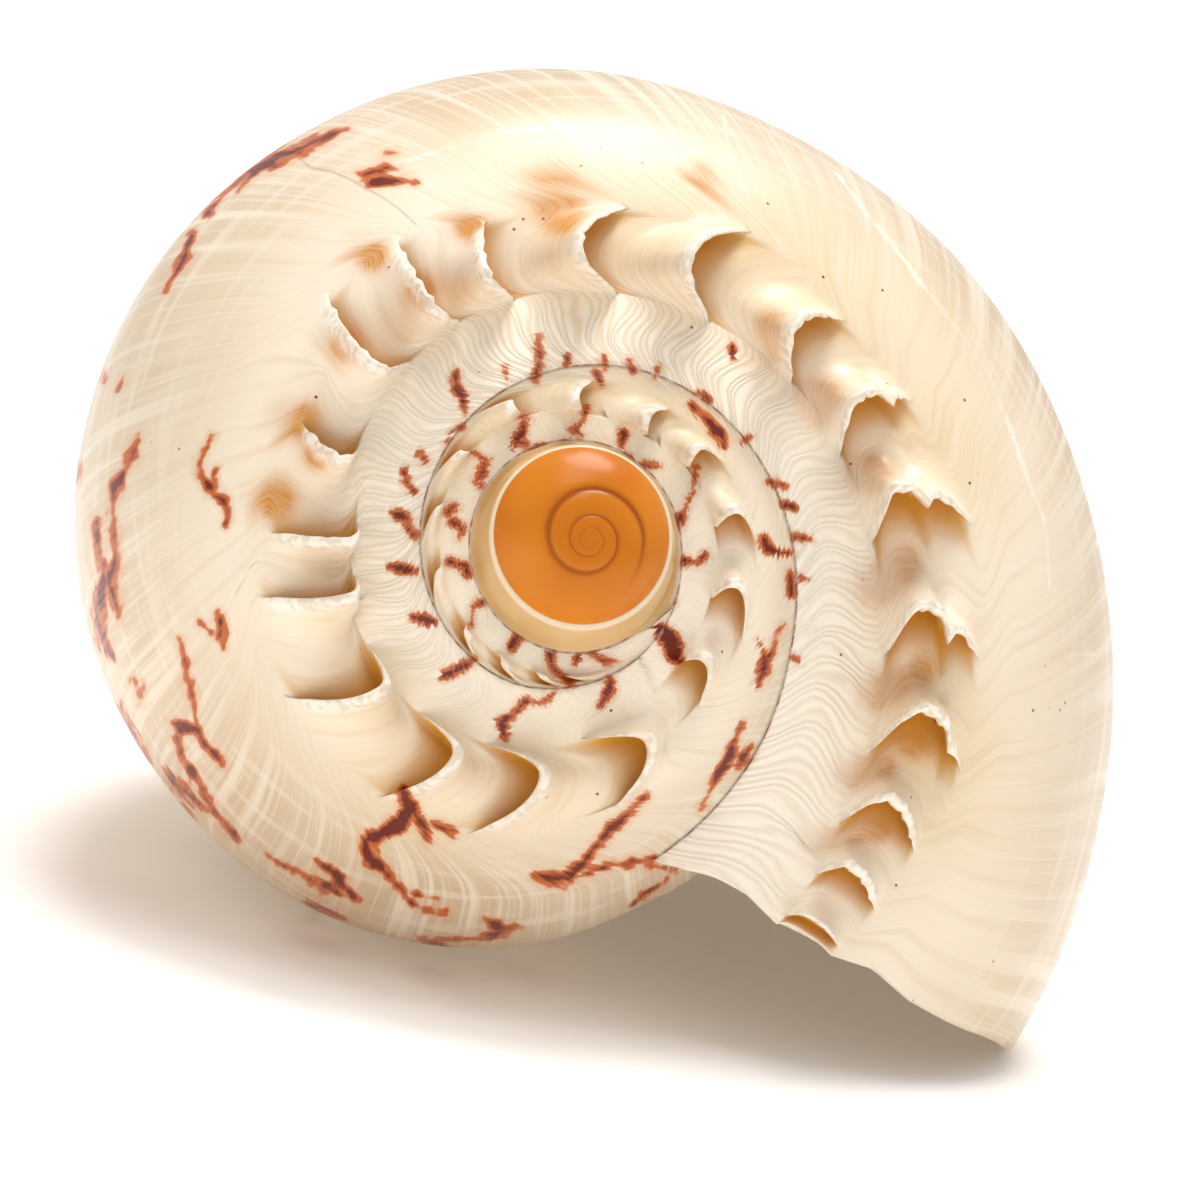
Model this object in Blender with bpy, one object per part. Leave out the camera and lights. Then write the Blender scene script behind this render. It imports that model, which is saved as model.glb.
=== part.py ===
"""Melon shell, a large sea snail's shell with a crown of hollow spines, lying on its mouth.

Lengths in the named values are millimetres, angles are degrees, and the mesh is made in metres.
The shell is worked out in its own frame first: the coil axis is z, the top of the bud (the
larval shell) is at z = 0 and the front end is at negative z. Growth is an angle that turns
clockwise seen from above the bud, so the shell is right-handed. One more turn of growth is 360.
"""
import math

import bmesh
import bpy
from mathutils import Matrix, Vector

MM = 0.001

# Growth angles where the parts of the shell begin and end
SPIRE_START = 150.0
LIP = 883.0
INNER_LIP = 550.0
HOLLOW_END = 430.0

# The bud at the top
BUD_RADIUS = 12.6
BUD_HEIGHT = 9.8
BUD_ROUND = 0.9

# Main radii against growth angle: the suture where a whorl meets the one before it,
# the row of spines, and the widest line of the whorl
SUTURE_RADIUS = ((150, 12.8), (250, 13.1), (360, 13.5), (450, 13.4), (490, 14.6), (535, 16.7),
                 (570, 18.5), (650, 19.6), (700, 21.6), (750, 24.8), (800, 27.9), (830, 30.3),
                 (860, 35.2), (883, 39.4))
SPINE_RADIUS = ((150, 16.6), (180, 17.2), (260, 18.4), (340, 19.8), (410, 20.3), (490, 22.0),
                (546, 27.4), (600, 28.8), (650, 30.8), (703, 33.6), (765, 37.6), (800, 41.0),
                (834, 47.3), (867, 54.5), (890, 58.5))
BELLY_RADIUS = ((523, 44.5), (545, 47.5), (575, 50.0), (600, 51.8), (625, 55.0), (650, 58.6),
                (675, 62.0), (700, 64.8), (727, 67.9), (750, 70.0), (780, 75.0), (800, 78.2),
                (832, 85.0), (852, 90.3), (883, 95.5))

# Before this growth angle each turn grows by one ratio, and its depth by a power of it
BELLY_START = 523.0
EARLY_EXPANSION = 2.13
EARLY_DEPTH_POWER = 0.8
EARLY_PILLAR_SHARE = 0.5

# Heights below the top of the bud
SPINE_FOOT_DEPTH = ((150, 10.3), (300, 10.8), (450, 12.2), (523, 13.8), (600, 15.5), (700, 17.0),
                    (800, 19.5), (850, 22.5), (890, 25.5))
BELLY_DEPTH = ((523, 42.0), (700, 56.0), (883, 74.0))
FRONT_DEPTH = ((523, 128.0), (640, 165.0), (760, 190.0), (883, 201.0))
PILLAR_RADIUS = ((523, 7.0), (600, 9.0), (700, 15.0), (800, 21.0), (883, 25.0))
TIP_DEPTH = 200.0
TIP_CLOSE = 14.0
SUTURE_STEP = 0.5
FIRST_TURN_DROP = 0.6

# Powers of the curve from the widest line down to the front end
TAPER_POWER = 1.8
TAPER_ROUND = 0.8

# The edge row runs from the suture's foot out to this share of the way to the widest line
EDGE_SHARE = 0.9
EDGE_TURN = 90.0

# Spines: growth angle of each rim, then height, half width and arch of the rim against growth
SPINES = (180, 194, 211, 231, 257, 282, 306, 336, 361, 386, 410, 436, 463, 490, 518, 546, 573, 595,
          615, 632, 650, 670, 689, 704, 722, 742, 764, 782, 799, 818, 834, 848, 858, 868)
SPINE_HEIGHT = ((180, 3.0), (300, 4.5), (450, 6.0), (520, 8.0), (600, 9.5), (700, 10.5),
                (800, 11.0), (850, 8.0), (870, 5.0))
SPINE_HALF_WIDTH = ((180, 2.2), (300, 2.8), (450, 3.8), (520, 5.2), (600, 6.2), (700, 7.2),
                    (800, 8.0), (850, 6.0), (870, 4.5))
RIM_ARCH = 0.55
HOOD_ROUND = 1.2

# How far the lip leans back from a straight line to the axis, against the way along the whorl
# from the suture (0) over the belly (1) to the front end (2)
LIP_LEAN = ((0.0, 0.0), (0.11, 9.3), (0.22, 14.0), (0.45, 16.3), (0.68, 18.5), (0.79, 23.5),
            (0.9, 29.0), (1.0, 32.0), (1.25, 38.0), (1.5, 44.0), (1.75, 48.0), (1.9, 44.0),
            (2.0, 34.0))

# Wall, and the hollow inside it
WALL = 2.8
GLAZE = 1.0
LEAST_HOLLOW = 0.5
END_MARGIN = 0.6
FOLDS = 4
FOLD_HEIGHT = 2.2

# The notch at the front end is a round cut from the mouth side to the back
MOUTH_SIDE = 571.0
NOTCH_RADIUS = 15.0
NOTCH_DEPTH = 205.0
NOTCH_SHIFT = 13.0
NOTCH_REACH = 100.0

# How it lies: the direction of the floor in the shell's own frame, and where the top of the bud
# is in the world. It rests on the belly, the corner of the lip and the front end, each of which
# is worn flat by a few tenths of a millimetre.
DOWN = (-0.179, -0.944, -0.279)
BUD_TOP = (-12.79, -95.24, 63.06)
FLOOR_SIZE = 400.0

# Mesh density
EDGE_WAY = 0.9
BAND_ROWS = (-1.0, -0.5, 0.0, 0.5, 1.0)
ROW_GAP = 0.35
LOWER_SPREAD = 0.9

# Columns between two rims: the back's foot and middle, the pit behind the rim's wall and its
# floor. Each has its share of the gap and its height as a share of the spine's.
RIM_WALL = 1.1
BACK_FOOT = (0.42, 0.08)
BACK_MIDDLE = (0.20, 0.40)
PIT = -0.25
PIT_FLOOR = (0.32, -0.22)
FIRST_BACK_FOOT = 14
FIRST_PIT_FLOOR = 3
GAP_AT_START = 14.0
GAP_AT_LIP = 10.0
LEAST_GAP = 1.2
BELLY_ROWS = 2
LOWER_ROWS = 9
HOLLOW_STEP = 12.0
HOLLOW_POINTS = 15
PILLAR_POINTS = 20
FIRST_FOLD = 9
BUD_SIDES = 28
BUD_RINGS = 5
NOTCH_SIDES = 28
SHARP_ANGLE = 40.0


def at(knots, growth):
    """Value at a growth angle of a smooth line through the knots."""
    xs = [k[0] for k in knots]
    ys = [k[1] for k in knots]
    if growth <= xs[0]:
        return ys[0]
    if growth >= xs[-1]:
        slope = (ys[-1] - ys[-2]) / (xs[-1] - xs[-2])
        return ys[-1] + slope * (growth - xs[-1])
    i = max(k for k in range(len(xs) - 1) if xs[k] <= growth)
    run = xs[i + 1] - xs[i]
    share = (growth - xs[i]) / run
    steps = [(ys[k + 1] - ys[k]) / (xs[k + 1] - xs[k]) for k in range(len(xs) - 1)]

    def tangent(k):
        if k == 0 or k == len(xs) - 1:
            return steps[min(k, len(steps) - 1)]
        a, b = steps[k - 1], steps[k]
        return 0.0 if a * b <= 0.0 else 2.0 * a * b / (a + b)

    h00 = (1 + 2 * share) * (1 - share) ** 2
    h10 = share * (1 - share) ** 2
    h01 = share * share * (3 - 2 * share)
    h11 = share * share * (share - 1)
    return h00 * ys[i] + h10 * run * tangent(i) + h01 * ys[i + 1] + h11 * run * tangent(i + 1)


def belly(growth):
    """Radius and z of the widest line of the whorl."""
    if growth >= BELLY_START:
        return at(BELLY_RADIUS, growth), -at(BELLY_DEPTH, growth)
    shrink = EARLY_EXPANSION ** ((growth - BELLY_START) / 360.0)
    return BELLY_RADIUS[0][1] * shrink, -BELLY_DEPTH[0][1] * shrink ** EARLY_DEPTH_POWER


def top_z(growth, radius):
    """z of the plain upper side of a whorl, without spines, at a radius."""
    spine_r = at(SPINE_RADIUS, growth)
    spine_z = -at(SPINE_FOOT_DEPTH, growth)
    if radius <= spine_r:
        inner_r = at(SUTURE_RADIUS, growth)
        inner_z = suture_z(growth)
        share = min(max((radius - inner_r) / max(spine_r - inner_r, 0.1), 0.0), 1.0)
        return inner_z + (spine_z - inner_z) * share
    belly_r, belly_z = belly(growth)
    sine = min((radius - spine_r) / (belly_r - spine_r), 1.0)
    return spine_z + (belly_z - spine_z) * (1.0 - math.sqrt(1.0 - sine * sine))


def suture_z(growth):
    """z of the inner edge of a whorl, which lies on the whorl before it."""
    if growth < SPIRE_START + 360.0:
        return -BUD_HEIGHT - FIRST_TURN_DROP * (growth - SPIRE_START) / 360.0
    before = growth - 360.0
    return top_z(before, at(SUTURE_RADIUS, growth)) + SUTURE_STEP


def outer_radius(growth, z):
    """Radius of the lower side of a whorl at a z below its widest line."""
    belly_r, belly_z = belly(growth)
    if growth >= BELLY_START:
        front_z = -at(FRONT_DEPTH, growth)
        pillar = at(PILLAR_RADIUS, growth)
    else:
        shrink = EARLY_EXPANSION ** ((growth - BELLY_START) / 360.0)
        front_z = -FRONT_DEPTH[0][1] * shrink
        pillar = PILLAR_RADIUS[0][1] * max(shrink, EARLY_PILLAR_SHARE)
    share = min(max((belly_z - z) / (belly_z - front_z), 0.0), 1.0)
    radius = pillar + (belly_r - pillar) * (1.0 - share ** TAPER_POWER) ** TAPER_ROUND
    close = min(max((z + TIP_DEPTH) / TIP_CLOSE, 0.0), 1.0)
    return radius * math.sqrt(1.0 - (1.0 - close) ** 2)


def radius_at(angle, z):
    """Radius of a whorl's outer side at a z below its spine row."""
    belly_r, belly_z = belly(angle)
    if z <= belly_z:
        return outer_radius(angle, z)
    spine_r = at(SPINE_RADIUS, angle)
    spine_z = -at(SPINE_FOOT_DEPTH, angle)
    drop = min(max((spine_z - z) / (spine_z - belly_z), 0.0), 1.0)
    return spine_r + (belly_r - spine_r) * math.sqrt(1.0 - (1.0 - drop) ** 2)


def edge_radius(angle):
    """Radius of the row that is the suture's foot on the spire and then runs on over the belly."""
    end = BELLY_START
    if angle <= end:
        return at(SUTURE_RADIUS, angle + 360.0)
    spine_r = at(SPINE_RADIUS, end)
    share = (at(SUTURE_RADIUS, LIP) - spine_r) / (belly(end)[0] - spine_r)
    share += (EDGE_SHARE - share) * min((angle - end) / EDGE_TURN, 1.0)
    return at(SPINE_RADIUS, angle) + (belly(angle)[0] - at(SPINE_RADIUS, angle)) * share


def turned(growth, way):
    """Angle about the axis of a point on a growth line."""
    return growth - at(LIP_LEAN, way)


def place(angle, radius, z):
    a = math.radians(angle)
    return Vector((radius * math.sin(a), radius * math.cos(a), z))


def upper_rows(growth, rise):
    """Points of a growth line from the suture over the spine row to the edge row."""
    last = len(BAND_ROWS) + 3
    points = []
    for i in range(last + 1):
        way = EDGE_WAY * i / last
        angle = turned(growth, way)
        inner_r = at(SUTURE_RADIUS, angle)
        edge_r = edge_radius(angle)
        spine_r = at(SPINE_RADIUS, angle)
        half = at(SPINE_HALF_WIDTH, angle)
        if i < 2:
            wanted = inner_r + 0.5 * i * (spine_r - half - inner_r)
        elif i < last - 1:
            wanted = spine_r + half * BAND_ROWS[i - 2]
        else:
            wanted = edge_r + 0.5 * (i - last) * (edge_r - spine_r - half)
        gap = min(ROW_GAP, (edge_r - inner_r) / (last + 1.0))
        r = min(max(wanted, inner_r + gap * i), edge_r - gap * (last - i))
        inside = max(1.0 - ((r - spine_r) / half) ** 2, 0.0)
        lift = rise * at(SPINE_HEIGHT, angle) * inside ** HOOD_ROUND
        back = math.degrees(RIM_ARCH * half / spine_r) * inside ** 2
        points.append(place(angle - back, r, top_z(angle, r) + lift))
    return points


def lower_rows(growth, finest=1):
    """Points of a growth line from below the edge row to just above the front end."""
    points = []
    for i in range(1, BELLY_ROWS * finest + 1):
        share = i / (BELLY_ROWS * finest)
        angle = turned(growth, EDGE_WAY + (1.0 - EDGE_WAY) * share)
        belly_z = belly(angle)[1]
        edge_z = top_z(angle, edge_radius(angle))
        z = edge_z + (belly_z - edge_z) * share
        points.append(place(angle, radius_at(angle, z), z))
    for i in range(1, LOWER_ROWS * finest):
        share = math.sin(0.5 * math.pi * i / (LOWER_ROWS * finest)) ** LOWER_SPREAD
        angle = turned(growth, 1.0 + share)
        belly_z = belly(angle)[1]
        z = belly_z + (-TIP_DEPTH - belly_z) * share
        points.append(place(angle, radius_at(angle, z), z))
    return points


def columns():
    """Growth of each mesh column with its place in the rise and fall of the spines."""
    plan = [(SPIRE_START, 0.0), (INNER_LIP, 0.0), (LIP, 0.0)]
    for i, rim in enumerate(SPINES):
        before = rim - SPINES[i - 1] if i else GAP_AT_START
        after = SPINES[i + 1] - rim if i + 1 < len(SPINES) else GAP_AT_LIP
        r = at(SPINE_RADIUS, rim)
        arch = math.degrees(RIM_ARCH * at(SPINE_HALF_WIDTH, rim) / r)
        own = rim + at(LIP_LEAN, 0.5 * EDGE_WAY) + arch
        if i >= FIRST_BACK_FOOT:
            plan.append((own - BACK_FOOT[0] * before, BACK_FOOT[1]))
        plan.append((own - BACK_MIDDLE[0] * before, BACK_MIDDLE[1]))
        plan.append((own, 1.0))
        plan.append((own + math.degrees(RIM_WALL / r), PIT))
        if i >= FIRST_PIT_FLOOR:
            plan.append((own + PIT_FLOOR[0] * after, PIT_FLOOR[1]))
    plan = sorted(p for p in plan if p[0] <= LIP)
    kept = []
    for growth, rise in plan:
        fixed = growth in (SPIRE_START, INNER_LIP, LIP)
        after_rim = kept and kept[-1][1] == 1.0
        if kept and growth - kept[-1][0] < LEAST_GAP and not fixed and not after_rim:
            continue
        kept.append((growth, rise))
    return kept


def resample(points, count, shares=None):
    """The same line with a set number of points, evenly spaced unless shares are given."""
    steps = [0.0]
    for a, b in zip(points, points[1:]):
        steps.append(steps[-1] + (b - a).length)
    result = []
    for k in range(count):
        want = steps[-1] * (shares[k] if shares else k / (count - 1))
        i = max(j for j in range(len(points) - 1) if steps[j] <= want + 1e-9)
        run = max(steps[i + 1] - steps[i], 1e-9)
        result.append(points[i].lerp(points[i + 1], min((want - steps[i]) / run, 1.0)))
    return result


def polar(point):
    return math.hypot(point.x, point.y), math.degrees(math.atan2(point.x, point.y))


def hollow_loop(growth):
    """Closed line round the hollow at one growth line: outer wall down, pillar side up."""
    line = upper_rows(growth, 0.0) + lower_rows(growth)
    outer = []
    for before, here, after in zip(line, line[1:], line[2:]):
        r, turn = polar(here)
        dr = polar(after)[0] - polar(before)[0]
        dz = after.z - before.z
        size = math.hypot(dr, dz)
        r_in = r + WALL * dz / size
        z_in = here.z - WALL * dr / size
        whole = growth - (growth - turn) % 360.0
        inner = radius_at(whole - 360.0, z_in) + GLAZE
        if r_in > inner + LEAST_HOLLOW and z_in > -TIP_DEPTH + WALL:
            outer.append(place(turn, r_in, z_in))
    back = growth - (LIP - INNER_LIP)
    line = [upper_rows(back, 0.0)[-1]] + lower_rows(back, 2)
    inner = []
    for point in line:
        if outer[-1].z + END_MARGIN < point.z < outer[0].z - END_MARGIN:
            r, turn = polar(point)
            inner.append(place(turn, r + GLAZE, point.z))
    outer = resample(outer, HOLLOW_POINTS)
    inner = resample(inner, PILLAR_POINTS)
    for k in range(FIRST_FOLD, FIRST_FOLD + 2 * FOLDS, 2):
        r, turn = polar(inner[k])
        inner[k] = place(turn, r + FOLD_HEIGHT, inner[k].z)
    return outer, inner[::-1]


def zip_lines(faces, first, second, spot):
    """Triangles between two lines of vertices, matched by their share of each line."""
    def shares(line):
        steps = [0.0]
        for a, b in zip(line, line[1:]):
            steps.append(steps[-1] + (spot[b] - spot[a]).length)
        return [s / max(steps[-1], 1e-9) for s in steps]

    along, beside = shares(first), shares(second)
    i = j = 0
    while i < len(first) - 1 or j < len(second) - 1:
        if j == len(second) - 1 or (i < len(first) - 1 and along[i + 1] <= beside[j + 1]):
            faces.append((first[i], first[i + 1], second[j]))
            i += 1
        else:
            faces.append((first[i], second[j + 1], second[j]))
            j += 1


def shell_mesh():
    """Vertices and faces of the whole shell in its own frame, in millimetres."""
    spot = []
    faces = []

    def add(points):
        spot.extend(points)
        return list(range(len(spot) - len(points), len(spot)))

    plan = columns()
    tip = add([Vector((0.0, 0.0, -TIP_DEPTH))])[0]
    ribs = []
    for growth, rise in plan:
        points = upper_rows(growth, rise)
        if growth >= INNER_LIP:
            points += lower_rows(growth)
        ribs.append(add(points) + ([tip] if growth >= INNER_LIP else []))
    edge = len(BAND_ROWS) + 3
    for a, b in zip(ribs, ribs[1:]):
        for i in range(min(len(a), len(b)) - 1):
            quad = (a[i], a[i + 1], b[i + 1], b[i])
            faces.append(quad[:2] + quad[3:] if a[i + 1] == b[i + 1] else quad)

    suture = [rib[0] for rib in ribs]
    starts = [g for g, rise in plan]
    full_turn = SPIRE_START - at(LIP_LEAN, EDGE_WAY) + 360.0
    turn_end = min(k for k, g in enumerate(starts) if g >= full_turn)
    inner_lip = starts.index(INNER_LIP)
    foot = [rib[edge] for rib in ribs[:inner_lip + 1]]
    zip_lines(faces, foot, suture[turn_end:], spot)

    rings = []
    for level in range(BUD_RINGS):
        climb = 0.5 * math.pi * level / BUD_RINGS
        r = BUD_RADIUS * math.cos(climb) ** BUD_ROUND
        z = -BUD_HEIGHT * (1.0 - math.sin(climb))
        rings.append([place(starts[0] + 360.0 * k / BUD_SIDES, r, z) for k in range(BUD_SIDES)])
    top = add([Vector((0.0, 0.0, 0.0))])[0]
    lines = [add(ring) for ring in rings]
    for low, high in zip(lines, lines[1:]):
        for k in range(BUD_SIDES):
            n = (k + 1) % BUD_SIDES
            faces.append((low[k], high[k], high[n], low[n]))
    for k in range(BUD_SIDES):
        faces.append((lines[-1][k], top, lines[-1][(k + 1) % BUD_SIDES]))
    rim = lines[0] + lines[0][:1]
    zip_lines(faces, suture[:turn_end + 1], rim, spot)
    start = ribs[0]
    faces.append([suture[turn_end]] + start[::-1] + [rim[0]])

    loops = []
    growth = LIP
    while growth > HOLLOW_END:
        outer, inner = hollow_loop(growth)
        loops.append((add(outer), add(inner)))
        growth -= HOLLOW_STEP
    outer, inner = loops[0]
    zip_lines(faces, ribs[-1], outer, spot)
    zip_lines(faces, ribs[inner_lip][:edge - 1:-1], inner, spot)
    faces.append((ribs[-1][0], outer[0], inner[-1], ribs[inner_lip][edge]))
    faces.append((tip, inner[0], outer[-1]))
    for (a_out, a_in), (b_out, b_in) in zip(loops, loops[1:]):
        a, b = a_out + a_in, b_out + b_in
        for k in range(len(a)):
            n = (k + 1) % len(a)
            faces.append((a[k], a[n], b[n], b[k]))
    last_out, last_in = loops[-1]
    zip_lines(faces, last_out, last_in[::-1], spot)
    return spot, faces


def lie_down():
    """Rotation from the shell's frame to the world: the bud faces -Y and the mouth the floor."""
    up = -Vector(DOWN).normalized()
    front = Vector((0.0, 0.0, -1.0))
    front = (front - up * front.dot(up)).normalized()
    side = front.cross(up)
    return Matrix((side, front, up)).to_4x4()


def link_mesh(name, spot, faces):
    mesh = bpy.data.meshes.new(name)
    mesh.from_pydata([p * MM for p in spot], [], faces)
    work = bmesh.new()
    work.from_mesh(mesh)
    bmesh.ops.triangulate(work, faces=[f for f in work.faces if len(f.verts) > 3])
    bmesh.ops.recalc_face_normals(work, faces=work.faces)
    work.to_mesh(mesh)
    work.free()
    thing = bpy.data.objects.new(name, mesh)
    bpy.context.collection.objects.link(thing)
    return thing


def cut(shell, cutter):
    """Takes the cutter's space out of the shell, and hides the cutter."""
    cutter.hide_render = True
    cutter.display_type = "WIRE"
    change = shell.modifiers.new(cutter.name, "BOOLEAN")
    change.operation = "DIFFERENCE"
    change.solver = "EXACT"
    change.object = cutter


def notch_cutter(pose):
    """A round bar through the front end, square to the coil axis."""
    way = place(MOUTH_SIDE, 1.0, 0.0)
    across = Vector((0.0, 0.0, 1.0)).cross(way)
    centre = across * -NOTCH_SHIFT + Vector((0.0, 0.0, -NOTCH_DEPTH))
    spot = []
    for end in (-NOTCH_REACH, NOTCH_REACH):
        for k in range(NOTCH_SIDES):
            turn = 2.0 * math.pi * k / NOTCH_SIDES
            rim = across * math.cos(turn) + Vector((0.0, 0.0, math.sin(turn)))
            spot.append(pose @ (centre + way * end + rim * NOTCH_RADIUS))
    sides = [(k, (k + 1) % NOTCH_SIDES) for k in range(NOTCH_SIDES)]
    faces = [(a, b, b + NOTCH_SIDES, a + NOTCH_SIDES) for a, b in sides]
    faces.append(list(range(NOTCH_SIDES))[::-1])
    faces.append(list(range(NOTCH_SIDES, 2 * NOTCH_SIDES)))
    return link_mesh("notch cutter", spot, faces)


def floor_cutter():
    """A block whose top is the floor."""
    half = FLOOR_SIZE / 2
    spot = [Vector((x, y, z)) for z in (-half, 0.0) for y in (-half, half) for x in (-half, half)]
    faces = [(0, 1, 3, 2), (4, 5, 7, 6), (0, 1, 5, 4), (2, 3, 7, 6), (0, 2, 6, 4), (1, 3, 7, 5)]
    return link_mesh("floor cutter", spot, faces)


def shell_material():
    material = bpy.data.materials.new("glossy cream shell")
    material.use_nodes = True
    surface = material.node_tree.nodes["Principled BSDF"]
    surface.inputs["Base Color"].default_value = (0.82, 0.70, 0.54, 1.0)
    surface.inputs["Roughness"].default_value = 0.35
    surface.inputs["Metallic"].default_value = 0.0
    return material


def make_shell():
    pose = Matrix.Translation(BUD_TOP) @ lie_down()
    spot, faces = shell_mesh()
    shell = link_mesh("melon_shell", [pose @ p for p in spot], faces)
    shell.data.materials.append(shell_material())
    shell.data.shade_smooth()
    shell.data.set_sharp_from_angle(angle=math.radians(SHARP_ANGLE))
    cut(shell, notch_cutter(pose))
    cut(shell, floor_cutter())
    return shell


for item in list(bpy.data.objects):
    bpy.data.objects.remove(item)
make_shell()
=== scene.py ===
"""The looks of the melon shell: its fine surface, its colours, the floor, the light and the camera.

Lengths in the named values are millimetres and angles are degrees unless a comment says more.
The shell is worked out in its own frame, as in the CAD: the coil axis is z, the top of the bud is
at z = 0, and growth is an angle that turns clockwise seen from above the bud.
"""
import math

import bmesh
import bpy
import numpy as np
from mathutils import Matrix, Vector


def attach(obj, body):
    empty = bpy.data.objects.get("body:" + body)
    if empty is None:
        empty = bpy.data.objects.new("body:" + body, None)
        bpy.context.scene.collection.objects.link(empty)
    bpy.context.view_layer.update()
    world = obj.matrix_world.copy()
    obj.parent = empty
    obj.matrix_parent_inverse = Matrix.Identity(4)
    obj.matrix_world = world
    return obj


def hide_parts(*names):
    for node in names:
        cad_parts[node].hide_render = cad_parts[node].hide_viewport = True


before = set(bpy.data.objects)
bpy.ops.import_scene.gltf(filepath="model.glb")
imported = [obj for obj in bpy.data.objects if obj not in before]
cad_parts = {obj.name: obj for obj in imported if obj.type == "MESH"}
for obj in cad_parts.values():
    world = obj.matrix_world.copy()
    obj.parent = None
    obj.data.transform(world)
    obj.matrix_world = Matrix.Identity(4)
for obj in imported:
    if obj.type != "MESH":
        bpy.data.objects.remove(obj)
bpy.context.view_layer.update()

MM = 0.001

# Growth angles where the parts of the shell begin and end
SPIRE_START = 150.0
LIP = 883.0
INNER_LIP = 550.0
HOLLOW_END = 430.0

# Main lines of the whorls against growth angle, the same as in the CAD
SUTURE_RADIUS = ((150, 12.8), (250, 13.1), (360, 13.5), (450, 13.4), (490, 14.6), (535, 16.7),
                 (570, 18.5), (650, 19.6), (700, 21.6), (750, 24.8), (800, 27.9), (830, 30.3),
                 (860, 35.2), (883, 39.4))
SPINE_RADIUS = ((150, 16.6), (180, 17.2), (260, 18.4), (340, 19.8), (410, 20.3), (490, 22.0),
                (546, 27.4), (600, 28.8), (650, 30.8), (703, 33.6), (765, 37.6), (800, 41.0),
                (834, 47.3), (867, 54.5), (890, 58.5))
BELLY_RADIUS = ((523, 44.5), (545, 47.5), (575, 50.0), (600, 51.8), (625, 55.0), (650, 58.6),
                (675, 62.0), (700, 64.8), (727, 67.9), (750, 70.0), (780, 75.0), (800, 78.2),
                (832, 85.0), (852, 90.3), (883, 95.5))
BELLY_START = 523.0
EARLY_EXPANSION = 2.13
SPINE_FOOT_DEPTH = ((150, 10.3), (300, 10.8), (450, 12.2), (523, 13.8), (600, 15.5), (700, 17.0),
                    (800, 19.5), (850, 22.5), (890, 25.5))
BELLY_DEPTH = ((523, 42.0), (700, 56.0), (883, 74.0))
FRONT_DEPTH = ((523, 128.0), (640, 165.0), (760, 190.0), (883, 201.0))
PILLAR_RADIUS = ((523, 7.0), (600, 9.0), (700, 15.0), (800, 21.0), (883, 25.0))
TIP_DEPTH = 200.0
TIP_CLOSE = 14.0
SUTURE_STEP = 0.5
EARLY_DEPTH_POWER = 0.8
EARLY_PILLAR_SHARE = 0.5
FIRST_TURN_DROP = 0.6
TAPER_POWER = 1.8
TAPER_ROUND = 0.8
EDGE_SHARE = 0.9
EDGE_TURN = 90.0
LIP_LEAN = ((0.0, 0.0), (0.11, 9.3), (0.22, 14.0), (0.45, 16.3), (0.68, 18.5), (0.79, 23.5),
            (0.9, 29.0), (1.0, 32.0), (1.25, 38.0), (1.5, 44.0), (1.75, 48.0), (1.9, 44.0),
            (2.0, 34.0))
# The lip is drawn straighter than in the CAD, by degrees at a way along it
LIP_PULL = 3.4
LIP_PULL_WAY = 0.64
LIP_PULL_SPREAD = 0.15
LIP_PULL_LENGTH = 40.0
EDGE_WAY = 0.9
# The value across grows by this from the suture to the widest line, and again to the front end
ACROSS_SCALE = 55.0
LIP_LEAN_AT_EDGE = 29.0
APEX_WAY = 0.45
BAND_HALF = ((180, 2.2), (300, 2.8), (450, 3.8), (520, 5.2), (600, 6.2), (700, 7.2), (800, 8.0),
             (850, 6.0), (870, 4.5))

# How it lies, the same as in the CAD
DOWN = (-0.179, -0.944, -0.279)
BUD_TOP = (-12.79, -95.24, 63.06)

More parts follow.
